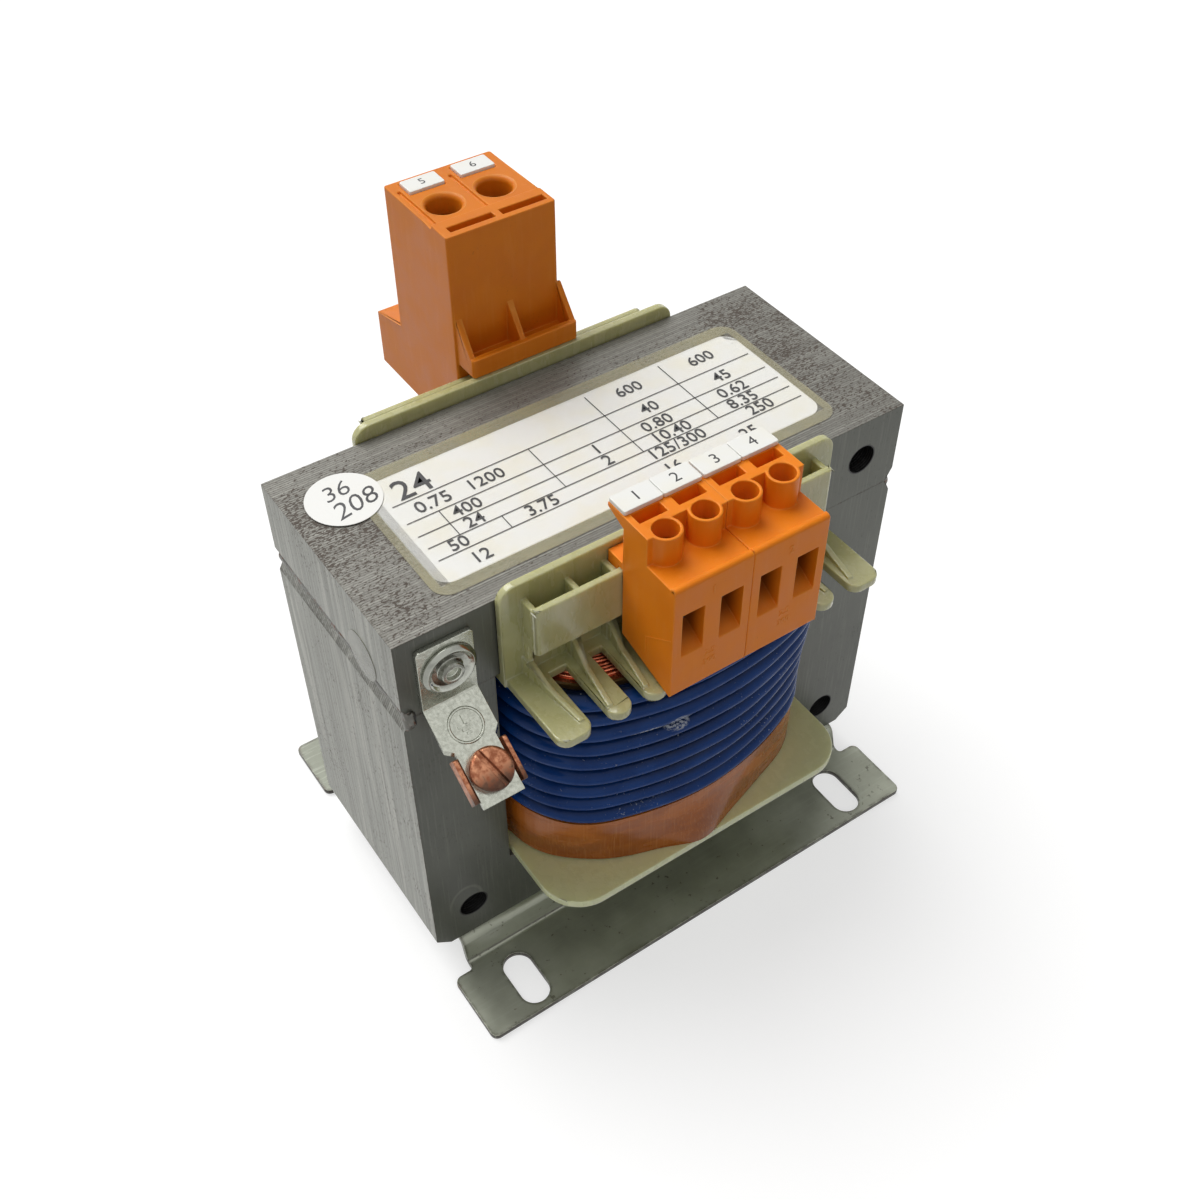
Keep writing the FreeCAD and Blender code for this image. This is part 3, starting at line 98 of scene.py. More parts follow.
# Lines across the label's table (y, start, end) and its figures (words, x, y, height)

TABLE_COLUMNS = (
    (-31.0, 0.2, 7.2), (-23.0, 7.2, 10.6), (-10.2, -4.8, 7.2), (6.0, -11.2, 7.2),
    (22.4, -11.2, 7.2))
TABLE_FIGURES = (
    ("24", -7.6, -31.6, 4.6), ("0.75", -2.2, -30.6, 2.6), ("1200", -2.2, -20.4, 2.4),
    ("400", 2.1, -26.6, 2.4), ("24", 5.6, -27.2, 2.4), ("50", 8.9, -32.2, 2.4),
    ("3.75", 8.9, -16.0, 2.4), ("12", 13.4, -30.6, 2.4), ("600", -8.6, 14.0, 2.4),
    ("40", -2.2, 14.0, 2.4), ("0.80", 2.1, 12.6, 2.4), ("10.40", 5.6, 13.2, 2.4),
    ("600", -8.6, 30.4, 2.4), ("45", -2.2, 30.4, 2.4), ("0.62", 2.1, 29.6, 2.4),
    ("8.35", 5.6, 29.2, 2.4), ("125/300", 8.9, 12.0, 2.4), ("250", 8.9, 30.6, 2.4),
    ("16", 13.4, 8.0, 2.4), ("25", 13.4, 24.6, 2.4), ("1", 2.1, -0.4, 2.4), ("2", 5.6, -0.4, 2.4))
TABLE_SCALE = 1.12

# Figures on the tags (node, words, height) and on the front housings (words, y, z, height)

TAG_FIGURES = (
    ("front_marker_1", "1", 2.3), ("front_marker_2", "2", 2.3), ("front_marker_3", "3", 2.3),
    ("front_marker_4", "4", 2.3), ("rear_marker_left", "5", 1.9), ("rear_marker_right", "6", 1.9))
MOULDED_FIGURES = (
    ("1", -6.3, 97.6, 1.7), ("2", 9.2, 97.6, 1.7), ("2.5", -6.3, 83.4, 1.3),
    ("300", -6.3, 81.2, 1.3), ("2.5", 9.2, 83.4, 1.3), ("300", 9.2, 81.2, 1.3))
PARTING_LINE = ((35.9, 85.1, 42.6, 89.8), (35.9, 85.1, 35.9, 81.3))


# Camera, light and floor

FLOOR_GLOW = 0.61
ROOM_LIGHT = 0.16


def place_camera():
    """The camera stands above the front left corner and looks down on the core."""
    data = bpy.data.cameras.new("photo_camera")
    data.lens = 43.18
    data.sensor_width = 36.0
    data.clip_start = 0.01
    data.clip_end = 20.0
    camera = bpy.data.objects.new("photo_camera", data)
    right = Vector((0.56550, 0.82475, -0.00161))
    up = Vector((-0.59251, 0.40762, 0.69482))
    back = right.cross(up)
    turn = Matrix((right, up, back)).transposed()
    camera.matrix_world = Matrix.Translation((0.16174, -0.10884, 0.25651)) @ turn.to_4x4()
    bpy.context.scene.collection.objects.link(camera)
    bpy.context.scene.camera = camera


def add_softbox(name, place, spread, power):
    """A wide, soft light a long way off, seen from the transformer in the given direction."""
    data = bpy.data.lights.new(name, "SUN")
    data.angle = math.radians(spread)
    data.energy = power
    lamp = bpy.data.objects.new(name, data)
    aim = -Vector(place)
    turn = aim.to_track_quat("-Z", "Y").to_matrix().to_4x4()
    lamp.matrix_world = Matrix.Translation(place) @ turn
    bpy.context.scene.collection.objects.link(lamp)


def seen_directly(tree):
    """1 for rays from the camera, a mirror or glass, 0 for the light that falls on things."""
    rays = tree.nodes.new("ShaderNodeLightPath").outputs
    direct = maths(tree, "MAXIMUM", rays["Is Camera Ray"], rays["Is Glossy Ray"])
    return maths(tree, "MAXIMUM", direct, rays["Is Transmission Ray"])


def lay_floor():
    bm = bmesh.new()
    bmesh.ops.create_grid(bm, x_segments=1, y_segments=1, size=3.0)
    mesh = bpy.data.meshes.new("studio_floor")
    bm.to_mesh(mesh)
    bm.free()
    floor = bpy.data.objects.new("studio_floor", mesh)
    bpy.context.scene.collection.objects.link(floor)
    floor.location.z = -0.0002
    mesh.materials.append(pale_floor())


def pale_floor():
    """White paper that keeps the shadow and runs into the white background."""
    material, tree, shader = new_finish("pale_floor", (0.47, 0.47, 0.465), 0.95)
    fixed(shader, "Specular IOR Level", 0.0)
    fixed(shader, "Emission Color", (1, 1, 1, 1))
    put(shader, "Emission Strength", times(tree, seen_directly(tree), FLOOR_GLOW))
    return material


def set_room_light():
    """A dim white room, which cameras, mirrors and glass see as white."""
    world = bpy.data.worlds.new("studio")
    bpy.context.scene.world = world
    world.use_nodes = True
    tree = world.node_tree
    background = tree.nodes["Background"]
    background.inputs["Color"].default_value = (1, 1, 1, 1)
    strength = times_plus(tree, seen_directly(tree), 1.0 - ROOM_LIGHT, ROOM_LIGHT)
    tree.links.new(strength, background.inputs["Strength"])
    bpy.context.scene.view_settings.view_transform = "Standard"


# Short calls for shader nodes

def screen(red, green, blue):
    """A colour as seen on a screen, 0 to 255, as the linear colour that a shader takes."""
    return tuple(((part / 255 + 0.055) / 1.055) ** 2.4 for part in (red, green, blue)) + (1.0,)


def feed(tree, socket, value):
    if isinstance(value, bpy.types.NodeSocket):
        tree.links.new(value, socket)
    else:
        socket.default_value = value


def maths(tree, operation, first, second=0.0, third=0.0):
    node = tree.nodes.new("ShaderNodeMath")
    node.operation = operation
    for socket, value in zip(node.inputs, (first, second, third)):
        feed(tree, socket, value)
    return node.outputs["Value"]


def times(tree, first, second):
    return maths(tree, "MULTIPLY", first, second)


def times_plus(tree, first, second, third):
    return maths(tree, "MULTIPLY_ADD", first, second, third)


def plus(tree, first, second):
    return maths(tree, "ADD", first, second)


def minus(tree, first, second):
    return maths(tree, "SUBTRACT", first, second)


def positive(tree, value):
    return maths(tree, "ABSOLUTE", value)


def apart(tree, first, second):
    """How far two values are apart."""
    return positive(tree, minus(tree, first, second))


def reach_of(tree, across, up):
    """The length of the slope over two sides of a right angle."""
    return maths(tree, "SQRT", times_plus(tree, across, across, times(tree, up, up)))


def scaled(tree, vector, factors):
    node = tree.nodes.new("ShaderNodeVectorMath")
    node.operation = "MULTIPLY"
    feed(tree, node.inputs[0], vector)
    feed(tree, node.inputs[1], factors)
    return node.outputs["Vector"]


def parts_of(tree, vector):
    node = tree.nodes.new("ShaderNodeSeparateXYZ")
    feed(tree, node.inputs[0], vector)
    return node.outputs["X"], node.outputs["Y"], node.outputs["Z"]


def fade(tree, value, start, end, low=0.0, high=1.0):
    """Low below start, high above end, and a soft change between them."""
    node = tree.nodes.new("ShaderNodeMapRange")
    node.interpolation_type = "SMOOTHSTEP"
    names = ("Value", "From Min", "From Max", "To Min", "To Max")
    for name, amount in zip(names, (value, start, end, low, high)):
        feed(tree, node.inputs[name], amount)
    return node.outputs["Result"]


def clouds(tree, vector, scale, detail=3.0, roughness=0.55):
    node = tree.nodes.new("ShaderNodeTexNoise")
    feed(tree, node.inputs["Vector"], vector)
    feed(tree, node.inputs["Scale"], scale)
    node.inputs["Detail"].default_value = detail
    node.inputs["Roughness"].default_value = roughness
    return node.outputs["Fac"]


def mixed(tree, factor, first, second):
    node = tree.nodes.new("ShaderNodeMix")
    node.data_type = "RGBA"
    feed(tree, node.inputs[0], factor)
    feed(tree, node.inputs[6], first)
    feed(tree, node.inputs[7], second)
    return node.outputs[2]


def relief(tree, height, depth, strength=1.0):
    """A bump of the given depth in millimetres."""
    node = tree.nodes.new("ShaderNodeBump")
    node.inputs["Distance"].default_value = depth * MM
    node.inputs["Strength"].default_value = strength
    feed(tree, node.inputs["Height"], height)
    return node.outputs["Normal"]


def millimetres(tree):
    """The place on the piece, in millimetres."""
    place = tree.nodes.new("ShaderNodeTexCoord").outputs["Object"]
    return scaled(tree, place, (1 / MM, 1 / MM, 1 / MM))


def put(shader, name, value):
    """Joins something that changes over the surface to a socket of the shader."""
    shader.id_data.links.new(value, shader.inputs[name])


def fixed(shader, name, value):
    shader.inputs[name].default_value = value


def new_finish(name, colour, roughness, metallic=0.0):
    material = bpy.data.materials.new(name)
    material.use_nodes = True
    shader = material.node_tree.nodes["Principled BSDF"]
    fixed(shader, "Base Color", (*colour[:3], 1))
    fixed(shader, "Roughness", roughness)
    fixed(shader, "Metallic", metallic)
    return material, material.node_tree, shader


# Effects that several finishes share

VECTOR = ("NodeSocketVector", None)


def new_effect(name, takes, gives):
    """A node group with its inputs and outputs; returns the group and the sockets inside it."""
    group = bpy.data.node_groups.new(name, "ShaderNodeTree")
    for socket, (kind, value) in takes.items():
        made = group.interface.new_socket(socket, in_out="INPUT", socket_type=kind)
        if value is not None:
            made.default_value = value
    for socket in gives:
        group.interface.new_socket(socket, in_out="OUTPUT", socket_type="NodeSocketFloat")
    inside = group.nodes.new("NodeGroupInput").outputs
    outside = group.nodes.new("NodeGroupOutput").inputs
    return group, inside, outside


def use(tree, group, **values):
    node = tree.nodes.new("ShaderNodeGroup")
    node.node_tree = group
    for name, value in values.items():
        feed(tree, node.inputs[name], value)
    return node.outputs


def make_flecks():
    """Small specks in loose crowds, such as rust or dirt."""
    tree, given, out = new_effect("flecks", {
        "Vector": VECTOR,
        "Stretch": ("NodeSocketVector", (1, 1, 1)),
        "Size": ("NodeSocketFloat", 1.0),
        "Amount": ("NodeSocketFloat", 0.5),
    }, ["Mask"])
    place = scaled(tree, given["Vector"], given["Stretch"])
    fine = clouds(tree, place, maths(tree, "DIVIDE", 1.0, given["Size"]), 3.0, 0.6)
    crowd = clouds(tree, given["Vector"], 0.09, 2.0)
    level = times_plus(tree, crowd, 0.30, fine)
    edge = minus(tree, 1.0, times(tree, given["Amount"], 0.5))
    tree.links.new(fade(tree, level, edge, plus(tree, edge, 0.07)), out["Mask"])
    return tree


def make_sheet_lines():
    """The edges of stacked sheets: each sheet's own tone, and the dark gaps between them."""
    tree, given, out = new_effect("sheet_lines", {"Vector": VECTOR}, ["Tone", "Gap"])
    along = parts_of(tree, given["Vector"])[0]
    count = maths(tree, "DIVIDE", along, SHEET_PITCH)
    tone = tree.nodes.new("ShaderNodeTexWhiteNoise")
    tone.noise_dimensions = "1D"
    tree.links.new(maths(tree, "FLOOR", count), tone.inputs["W"])
    broad = clouds(tree, scaled(tree, given["Vector"], (1.3, 0.012, 0.012)), 1.0, 2.0)
    sheet_tone = times_plus(tree, tone.outputs["Value"], 0.5, times(tree, broad, 0.5))
    tree.links.new(sheet_tone, out["Tone"])
    centre = apart(tree, maths(tree, "FRACT", count), 0.5)
    gap = fade(tree, centre, 0.34, 0.48)
    comes_and_goes = clouds(tree, scaled(tree, given["Vector"], (2.1, 0.03, 0.03)), 1.0, 3.0)
    tree.links.new(times(tree, gap, fade(tree, comes_and_goes, 0.30, 0.62, 0.45, 1.0)), out["Gap"])
    return tree


def make_edge_wear_and_highlight():
    """Marks the edges of a piece, where a rounded surface would leave the true one."""
    tree, given, out = new_effect("edge_wear_and_highlight", {"Normal": VECTOR}, ["Mask"])
    true = tree.nodes.new("ShaderNodeNewGeometry").outputs["True Normal"]
    dot = tree.nodes.new("ShaderNodeVectorMath")
    dot.operation = "DOT_PRODUCT"
    tree.links.new(true, dot.inputs[0])
    tree.links.new(given["Normal"], dot.inputs[1])
    tree.links.new(fade(tree, dot.outputs["Value"], 0.99, 0.86), out["Mask"])
    return tree


def make_faces():
    """Which way a face looks: up, out of the stack's ends, or along the stack's sides."""
    tree, _, out = new_effect("faces", {}, ["Top", "End", "Side"])
    x, y, z = parts_of(tree, tree.nodes.new("ShaderNodeNewGeometry").outputs["True Normal"])
    tree.links.new(fade(tree, z, 0.3, 0.8), out["Top"])
    tree.links.new(fade(tree, positive(tree, x), 0.6, 0.8), out["End"])
    tree.links.new(fade(tree, positive(tree, y), 0.6, 0.8), out["Side"])
    return tree


def make_grain():
    """The fine, even unevenness of a moulded or coated surface."""
    tree, given, out = new_effect("grain", {
        "Vector": VECTOR,
        "Size": ("NodeSocketFloat", 0.3),
    }, ["Height", "Patch"])
    scale = maths(tree, "DIVIDE", 1.0, given["Size"])
    tree.links.new(clouds(tree, given["Vector"], scale, 2.0), out["Height"])
    tree.links.new(clouds(tree, given["Vector"], 0.16, 3.0), out["Patch"])
    return tree


def make_runs():
    """Varnish that ran down and dried in streaks."""
    tree, given, out = new_effect("runs", {
        "Vector": VECTOR,
        "Stretch": ("NodeSocketVector", (1, 1, 0.08)),
        "Size": ("NodeSocketFloat", 1.5),
    }, ["Mask", "Height"])
    place = scaled(tree, given["Vector"], given["Stretch"])
    streak = clouds(tree, place, maths(tree, "DIVIDE", 1.0, given["Size"]), 4.0, 0.6)
    tree.links.new(streak, out["Height"])
    tree.links.new(fade(tree, streak, 0.52, 0.66), out["Mask"])
    return tree


def rounded_normal(tree, width):
    """The surface as it would be with its edges rounded by a width in millimetres."""
    node = tree.nodes.new("ShaderNodeBevel")
    node.samples = 6
    node.inputs["Radius"].default_value = width * MM
    return node.outputs["Normal"]


# Finishes

def core_steel():
    """Silicon steel: dark smooth sheet on the ends, striped and speckled edges elsewhere."""
    material, tree, shader = new_finish("core_steel", screen(95, 96, 88), 0.42, 0.35)
    mm = millimetres(tree)
    face = use(tree, FACES)
    lines = use(tree, SHEET_LINES, Vector=mm)
    x, y, z = parts_of(tree, mm)
    mottle = clouds(tree, scaled(tree, mm, (1.6, 0.7, 1.0)), 1.5, 3.0, 0.7)
    sheet_tone = times_plus(tree, lines["Tone"], 0.65, -0.26)
    tone = times_plus(tree, mottle, 0.9, sheet_tone)
    cut_edge = mixed(tree, tone, screen(82, 79, 73), screen(142, 141, 133))
    side_edge = mixed(tree, lines["Tone"], screen(128, 129, 121), screen(172, 173, 165))
    edge_colour = mixed(tree, face["Top"], side_edge, cut_edge)
    streaks = use(tree, RUNS, Vector=mm, Stretch=(1.2, 1.2, 0.05), Size=2.2)
    run_down = times(tree, streaks["Mask"], times(tree, face["Side"], 0.4))
    edge_colour = mixed(tree, run_down, edge_colour, screen(206, 205, 196))
    turned = scaled(tree, mm, (1, -1, -1))
    dark_runs = use(tree, RUNS, Vector=turned, Stretch=(1.6, 1.2, 0.045), Size=1.1)
    run_dark = times(tree, dark_runs["Mask"], times(tree, face["Side"], 0.32))
    edge_colour = mixed(tree, run_dark, edge_colour, screen(92, 90, 82))
    edge_colour = mixed(tree, times(tree, lines["Gap"], 0.8), edge_colour, screen(58, 55, 51))
    corner = fade(tree, positive(tree, y), 22.0, 48.0)
    by_rail = fade(tree, positive(tree, x), 16.5, 20.5)
    away_from_rail = times_plus(tree, by_rail, -0.12, 0.55)
    amount = times_plus(tree, corner, 0.13, away_from_rail)
    top_rust = use(tree, FLECKS, Vector=mm, Stretch=(1.0, 0.5, 1.0), Size=0.34, Amount=amount)
    side_rust = use(tree, FLECKS, Vector=mm, Stretch=(1.0, 1.0, 0.38), Size=0.38, Amount=0.47)
    rust = mixed(tree, face["Top"], times(tree, side_rust["Mask"], 0.8), top_rust["Mask"])
    edge_colour = mixed(tree, times(tree, rust, 0.85), edge_colour, screen(66, 56, 48))
    patch = clouds(tree, mm, 0.05, 4.0)
    sheet = mixed(tree, patch, screen(62, 64, 58), screen(100, 102, 93))
    scratch = use(tree, RUNS, Vector=mm, Stretch=(1, 1, 0.03), Size=0.5)
    sheet = mixed(tree, times(tree, scratch["Mask"], 0.12), sheet, screen(150, 150, 140))
    across = minus(tree, y, ARCH_PLACE[0])
    up = times(tree, minus(tree, z, ARCH_PLACE[1]), 0.75)
    reach = reach_of(tree, across, up)
    arch = times(tree, fade(tree, apart(tree, reach, ARCH_RADIUS), 0.45, 0.1),
                 fade(tree, z, 15.0, 19.0))
    sheet = mixed(tree, times(tree, arch, 0.2), sheet, screen(150, 150, 138))
    colour = mixed(tree, face["End"], edge_colour, sheet)
    worn = use(tree, EDGE_WEAR_AND_HIGHLIGHT, Normal=rounded_normal(tree, 0.7))
    rough_edge = clouds(tree, mm, 0.9, 4.0)
    wear = times(tree, worn["Mask"], fade(tree, rough_edge, 0.40, 0.62))
    colour = mixed(tree, times(tree, wear, 0.8), colour, screen(60, 48, 40))
    # The through holes are painted near black: painted shade.
    colour = mixed(tree, bolt_hole_shade(tree, y, z), colour, screen(14, 14, 13))
    put(shader, "Base Color", colour)
    rough = times_plus(tree, rust, 0.25, fade(tree, face["End"], 0.0, 1.0, 0.46, 0.36))
    put(shader, "Roughness", rough)
    edge_relief = times(tree, minus(tree, 1.0, face["End"]), lines["Gap"])
    dents = times_plus(tree, streaks["Height"], 0.4, times(tree, edge_relief, -1.0))
    put(shader, "Normal", relief(tree, dents, 0.05))
    return material


def bolt_hole_shade(tree, y, z):
    """Painted shade: near black in the stack's four through holes and on their rims."""
    beside = minus(tree, positive(tree, y), HOLE_REACH)
    up = minus(tree, apart(tree, z, HOLE_MIDDLE), HOLE_SPREAD)
    reach = reach_of(tree, beside, up)
    return fade(tree, reach, 3.3, 3.0)


def weld_steel():
    """A weld bead under dark varnish, with rust in its hollows."""
    material, tree, shader = new_finish("weld_steel", screen(96, 92, 84), 0.3, 0.5)
    mm = millimetres(tree)
    rust = use(tree, FLECKS, Vector=mm, Size=1.1, Amount=0.62)
    patch = clouds(tree, mm, 0.35, 3.0)
    colour = mixed(tree, patch, screen(120, 119, 112), screen(60, 58, 54))
    colour = mixed(tree, rust["Mask"], colour, screen(92, 56, 34))
    put(shader, "Base Color", colour)
    put(shader, "Normal", relief(tree, clouds(tree, mm, 1.4, 3.0), 0.2))
    return material


def foot_steel():
    """Galvanised sheet, greenish grey, with blackened and rusty cut edges."""
    material, tree, shader = new_finish("foot_steel", screen(118, 120, 108), 0.34, 0.45)
    mm = millimetres(tree)
    patch = clouds(tree, mm, 0.07, 5.0, 0.62)
    x, y, z = parts_of(tree, mm)
    # The front foot is painted lighter and the rear foot darker: painted light and shade, for the
    # front foot's shadow and the rear foot's light.
    front_painted_lighter = fade(tree, x, -10.0, 10.0)
    colour = mixed(tree, front_painted_lighter, mixed(tree, patch, screen(76, 79, 69), screen(120, 123, 110)),
                   mixed(tree, patch, screen(122, 125, 110), screen(184, 187, 171)))
    rolled = use(tree, RUNS, Vector=mm, Stretch=(1, 0.05, 1), Size=0.6)
    colour = mixed(tree, times(tree, rolled["Mask"], 0.15), colour, screen(185, 187, 175))
    dirt = use(tree, FLECKS, Vector=mm, Size=1.4, Amount=0.40)
    colour = mixed(tree, times(tree, dirt["Mask"], 0.6), colour, screen(72, 66, 54))
    worn = use(tree, EDGE_WEAR_AND_HIGHLIGHT, Normal=rounded_normal(tree, 1.4))
    wear = times(tree, worn["Mask"], fade(tree, clouds(tree, mm, 0.45, 4.0), 0.36, 0.56))
    colour = mixed(tree, times(tree, wear, 0.85), colour, screen(48, 40, 34))
    face = use(tree, FACES)
    upright = maths(tree, "MAXIMUM", face["End"], face["Side"])
    cut = times(tree, upright, fade(tree, z, *CUT_EDGE_TOP))
    blackened = fade(tree, clouds(tree, mm, 0.3, 3.0), 0.3, 0.5, 0.4, 0.9)
    colour = mixed(tree, times(tree, cut, blackened), colour, screen(46, 38, 33))
    corner = times_plus(tree, clouds(tree, mm, 0.4, 4.0), 9.0, positive(tree, y))
    corner = fade(tree, corner, 56.5, 58.5)
    colour = mixed(tree, times(tree, corner, 0.7), colour, screen(70, 50, 38))
    put(shader, "Base Color", colour)
    put(shader, "Roughness", fade(tree, patch, 0.3, 0.7, 0.28, 0.42))
    put(shader, "Normal", relief(tree, patch, 0.12, 0.6))
    return material


def nylon():
    """Cream glass-filled nylon under a coat of clear varnish, with painted light on its low flange.
    """
    material, tree, shader = new_finish("nylon", screen(204, 199, 158), 0.3)
    mm = millimetres(tree)
    grain = use(tree, GRAIN, Vector=mm, Size=0.8)
    runs = use(tree, RUNS, Vector=mm, Stretch=(1, 1, 0.3), Size=4.0)
    colour = mixed(tree, grain["Patch"], screen(164, 162, 108), screen(188, 187, 142))
    colour = mixed(tree, times(tree, runs["Mask"], 0.14), colour, screen(206, 204, 168))
    # The low flange is painted lighter: painted light, where the coil shades it.
    low = fade(tree, parts_of(tree, mm)[2], *FLANGE_TOP, 0.0, 0.7)
    colour = mixed(tree, low, colour, screen(240, 246, 196))
    put(shader, "Base Color", colour)
    put(shader, "Roughness", fade(tree, runs["Height"], 0.35, 0.65, 0.34, 0.18))
    height = times_plus(tree, grain["Height"], 0.15, runs["Height"])
    put(shader, "Normal", relief(tree, height, 0.25, 0.7))
    fixed(shader, "Subsurface Weight", 0.6)
    fixed(shader, "Subsurface Radius", (1.0, 0.95, 0.6))
    fixed(shader, "Subsurface Scale", 2.5 * MM)
    fixed(shader, "Specular IOR Level", 0.4)
    fixed(shader, "Coat Weight", 0.5)
    fixed(shader, "Coat Roughness", 0.12)
    return material


def blue_insulation():
    """Dark blue wire insulation with dark varnish and painted shade between the turns, scuffs and
    pale specks.
    """
    material, tree, shader = new_finish("blue_insulation", screen(22, 34, 84), 0.34)
    mm = millimetres(tree)
    grain = use(tree, GRAIN, Vector=mm, Size=0.6)
    colour = mixed(tree, grain["Patch"], screen(8, 42, 98), screen(26, 76, 150))
    fixed(shader, "Specular IOR Level", 0.13)
    specks = use(tree, FLECKS, Vector=mm, Size=0.5, Amount=0.34)
    x, y, z = parts_of(tree, mm)
    # Between the turns the blue is painted near black: partly dark varnish, partly painted shade.
    # The lighter crown sits a little above each turn's middle, a painted highlight.
    turns = maths(tree, "FRACT", maths(tree, "DIVIDE", minus(tree, z, TURNS_BASE), TURN_PITCH))
    from_crown = apart(tree, turns, 0.56)
    turns_top = TURNS_BASE + TURN_COUNT * TURN_PITCH
    below_top = fade(tree, z, turns_top + 0.5, turns_top)
    groove_varnish_and_shade = times(tree, fade(tree, from_crown, 0.14, 0.46), below_top)
    colour = mixed(tree, times(tree, groove_varnish_and_shade, 0.9), colour, screen(3, 8, 22))
    rubbed = patch_mask(tree, y, z, *RUBBED_SPOT)
    dashed = patch_mask(tree, y, z, *DASHED_SPOT)
    scratches = fade(tree, clouds(tree, scaled(tree, mm, (1, 1.0, 2.6)), 1.6, 4.0, 0.7), 0.46, 0.53)
    scuff = times(tree, maths(tree, "MAXIMUM", rubbed, dashed), scratches)
    scuff = times(tree, scuff, fade(tree, x, 10.0, 20.0))
    pale = maths(tree, "MAXIMUM", times(tree, specks["Mask"], 0.5), scuff)
    colour = mixed(tree, times(tree, pale, 0.9), colour, screen(196, 202, 212))
    put(shader, "Base Color", colour)
    put(shader, "Roughness", fade(tree, grain["Patch"], 0.3, 0.7, 0.28, 0.18))
    ripple = clouds(tree, scaled(tree, mm, (0.25, 0.25, 1.0)), 0.5, 3.0)
    height = plus(tree, ripple, times(tree, grain["Height"], 0.06))
    put(shader, "Normal", relief(tree, height, 0.25, 0.6))
    return material


def patch_mask(tree, first, second, centre, radii):
    """1 inside an oval with soft edges, 0 outside it."""
    across = maths(tree, "DIVIDE", minus(tree, first, centre[0]), radii[0])
    along = maths(tree, "DIVIDE", minus(tree, second, centre[1]), radii[1])
    reach = times_plus(tree, across, across, times(tree, along, along))
    return fade(tree, reach, 1.0, 0.55)


def orange_tape():
    """Clear orange-brown film in several layers, drawn into fine upright creases."""
    material, tree, shader = new_finish("orange_tape", screen(148, 84, 34), 0.22)
    mm = millimetres(tree)
    creases = use(tree, RUNS, Vector=mm, Stretch=(1.6, 1.6, 0.02), Size=0.5)
    layers = clouds(tree, scaled(tree, mm, (0.5, 0.5, 1.2)), 0.16, 3.0)
    low = fade(tree, parts_of(tree, mm)[2], TAPE_BASE, 37.0)
    colour = mixed(tree, fade(tree, layers, 0.35, 0.68), screen(164, 84, 12), screen(194, 108, 30))
    colour = mixed(tree, times(tree, minus(tree, 1.0, low), 0.4), colour, screen(120, 62, 20))
    colour = mixed(tree, times(tree, creases["Mask"], 0.25), colour, screen(214, 146, 88))
    put(shader, "Base Color", colour)
    height = times_plus(tree, layers, 0.8, creases["Height"])
    put(shader, "Normal", relief(tree, height, 0.15, 0.6))
    put(shader, "Roughness", fade(tree, layers, 0.4, 0.6, 0.18, 0.30))
    fixed(shader, "Specular IOR Level", 0.2)
    fixed(shader, "Coat Weight", 0.2)
    fixed(shader, "Coat Roughness", 0.12)
    return material


def brown_wrap():
    """Varnished paper and tape between the windings."""
    material, tree, shader = new_finish("brown_wrap", screen(72, 52, 26), 0.35)
    mm = millimetres(tree)
    grain = use(tree, GRAIN, Vector=mm, Size=0.5)
    colour = mixed(tree, grain["Patch"], screen(50, 34, 16), screen(110, 84, 44))
    put(shader, "Base Color", colour)
    put(shader, "Normal", relief(tree, grain["Height"], 0.1))
    return material


def orange_moulding(name, dull, bright):
    """Orange polyamide with a fine sparked grain, a little dirt, painted highlights on its edges
    and painted shade in the front housing's wire funnels.
    """
    material, tree, shader = new_finish(name, bright, 0.42)
    mm = millimetres(tree)
    grain = use(tree, GRAIN, Vector=mm, Size=0.22)
    fixed(shader, "Specular IOR Level", 0.22)
    colour = mixed(tree, grain["Patch"], dull, bright)
    marks = use(tree, RUNS, Vector=mm, Stretch=(1, 1, 0.1), Size=1.2)
    colour = mixed(tree, times(tree, marks["Mask"], 0.05), colour, screen(248, 178, 110))
    dirt = use(tree, FLECKS, Vector=mm, Size=0.5, Amount=0.30)
    colour = mixed(tree, times(tree, dirt["Mask"], 0.35), colour, screen(150, 76, 20))
    # The edges are painted a lighter orange: a painted highlight.
    rim = use(tree, EDGE_WEAR_AND_HIGHLIGHT, Normal=rounded_normal(tree, 0.55))
    colour = mixed(tree, times(tree, rim["Mask"], 0.3), colour, screen(252, 176, 86))
    # The wire funnels round the front poles are painted dark brown: painted shade.
    x, y, z = parts_of(tree, mm)
    beside = apart(tree, y, FRONT_POLES[0])
    for pole in FRONT_POLES[1:]:
        beside = maths(tree, "MINIMUM", beside, apart(tree, y, pole))
    height = apart(tree, z, FUNNEL_MIDDLE)
    inside = times(tree, fade(tree, beside, *FUNNEL_SIDES), fade(tree, height, *FUNNEL_ENDS))
    inside = times(tree, inside, fade(tree, x, *FUNNEL_MOUTH))
    inside = times(tree, inside, fade(tree, x, *FUNNEL_BACK))
    colour = mixed(tree, times(tree, inside, 0.75), colour, screen(92, 42, 6))
    put(shader, "Base Color", colour)
    put(shader, "Roughness", fade(tree, grain["Patch"], 0.3, 0.7, 0.36, 0.48))
    put(shader, "Normal", relief(tree, grain["Height"], 0.04, 0.6))
    fixed(shader, "Subsurface Weight", 0.12)
    fixed(shader, "Subsurface Radius", (1.0, 0.4, 0.1))
    fixed(shader, "Subsurface Scale", 1.0 * MM)
    return material


def white_card(name, warm, size):
    """White plastic or paper, satin, with a faint yellowing."""
    material, tree, shader = new_finish(name, screen(236, 235, 230), 0.4)
    mm = millimetres(tree)
    grain = use(tree, GRAIN, Vector=mm, Size=size)
    yellowed = fade(tree, grain["Patch"], 0.35, 0.75, 0.0, warm)
    colour = mixed(tree, yellowed, screen(236, 236, 232), screen(232, 224, 188))
    put(shader, "Base Color", colour)
    put(shader, "Normal", relief(tree, grain["Height"], 0.03, 0.5))
    put(shader, "Roughness", fade(tree, grain["Patch"], 0.3, 0.7, 0.34, 0.46))
    return material


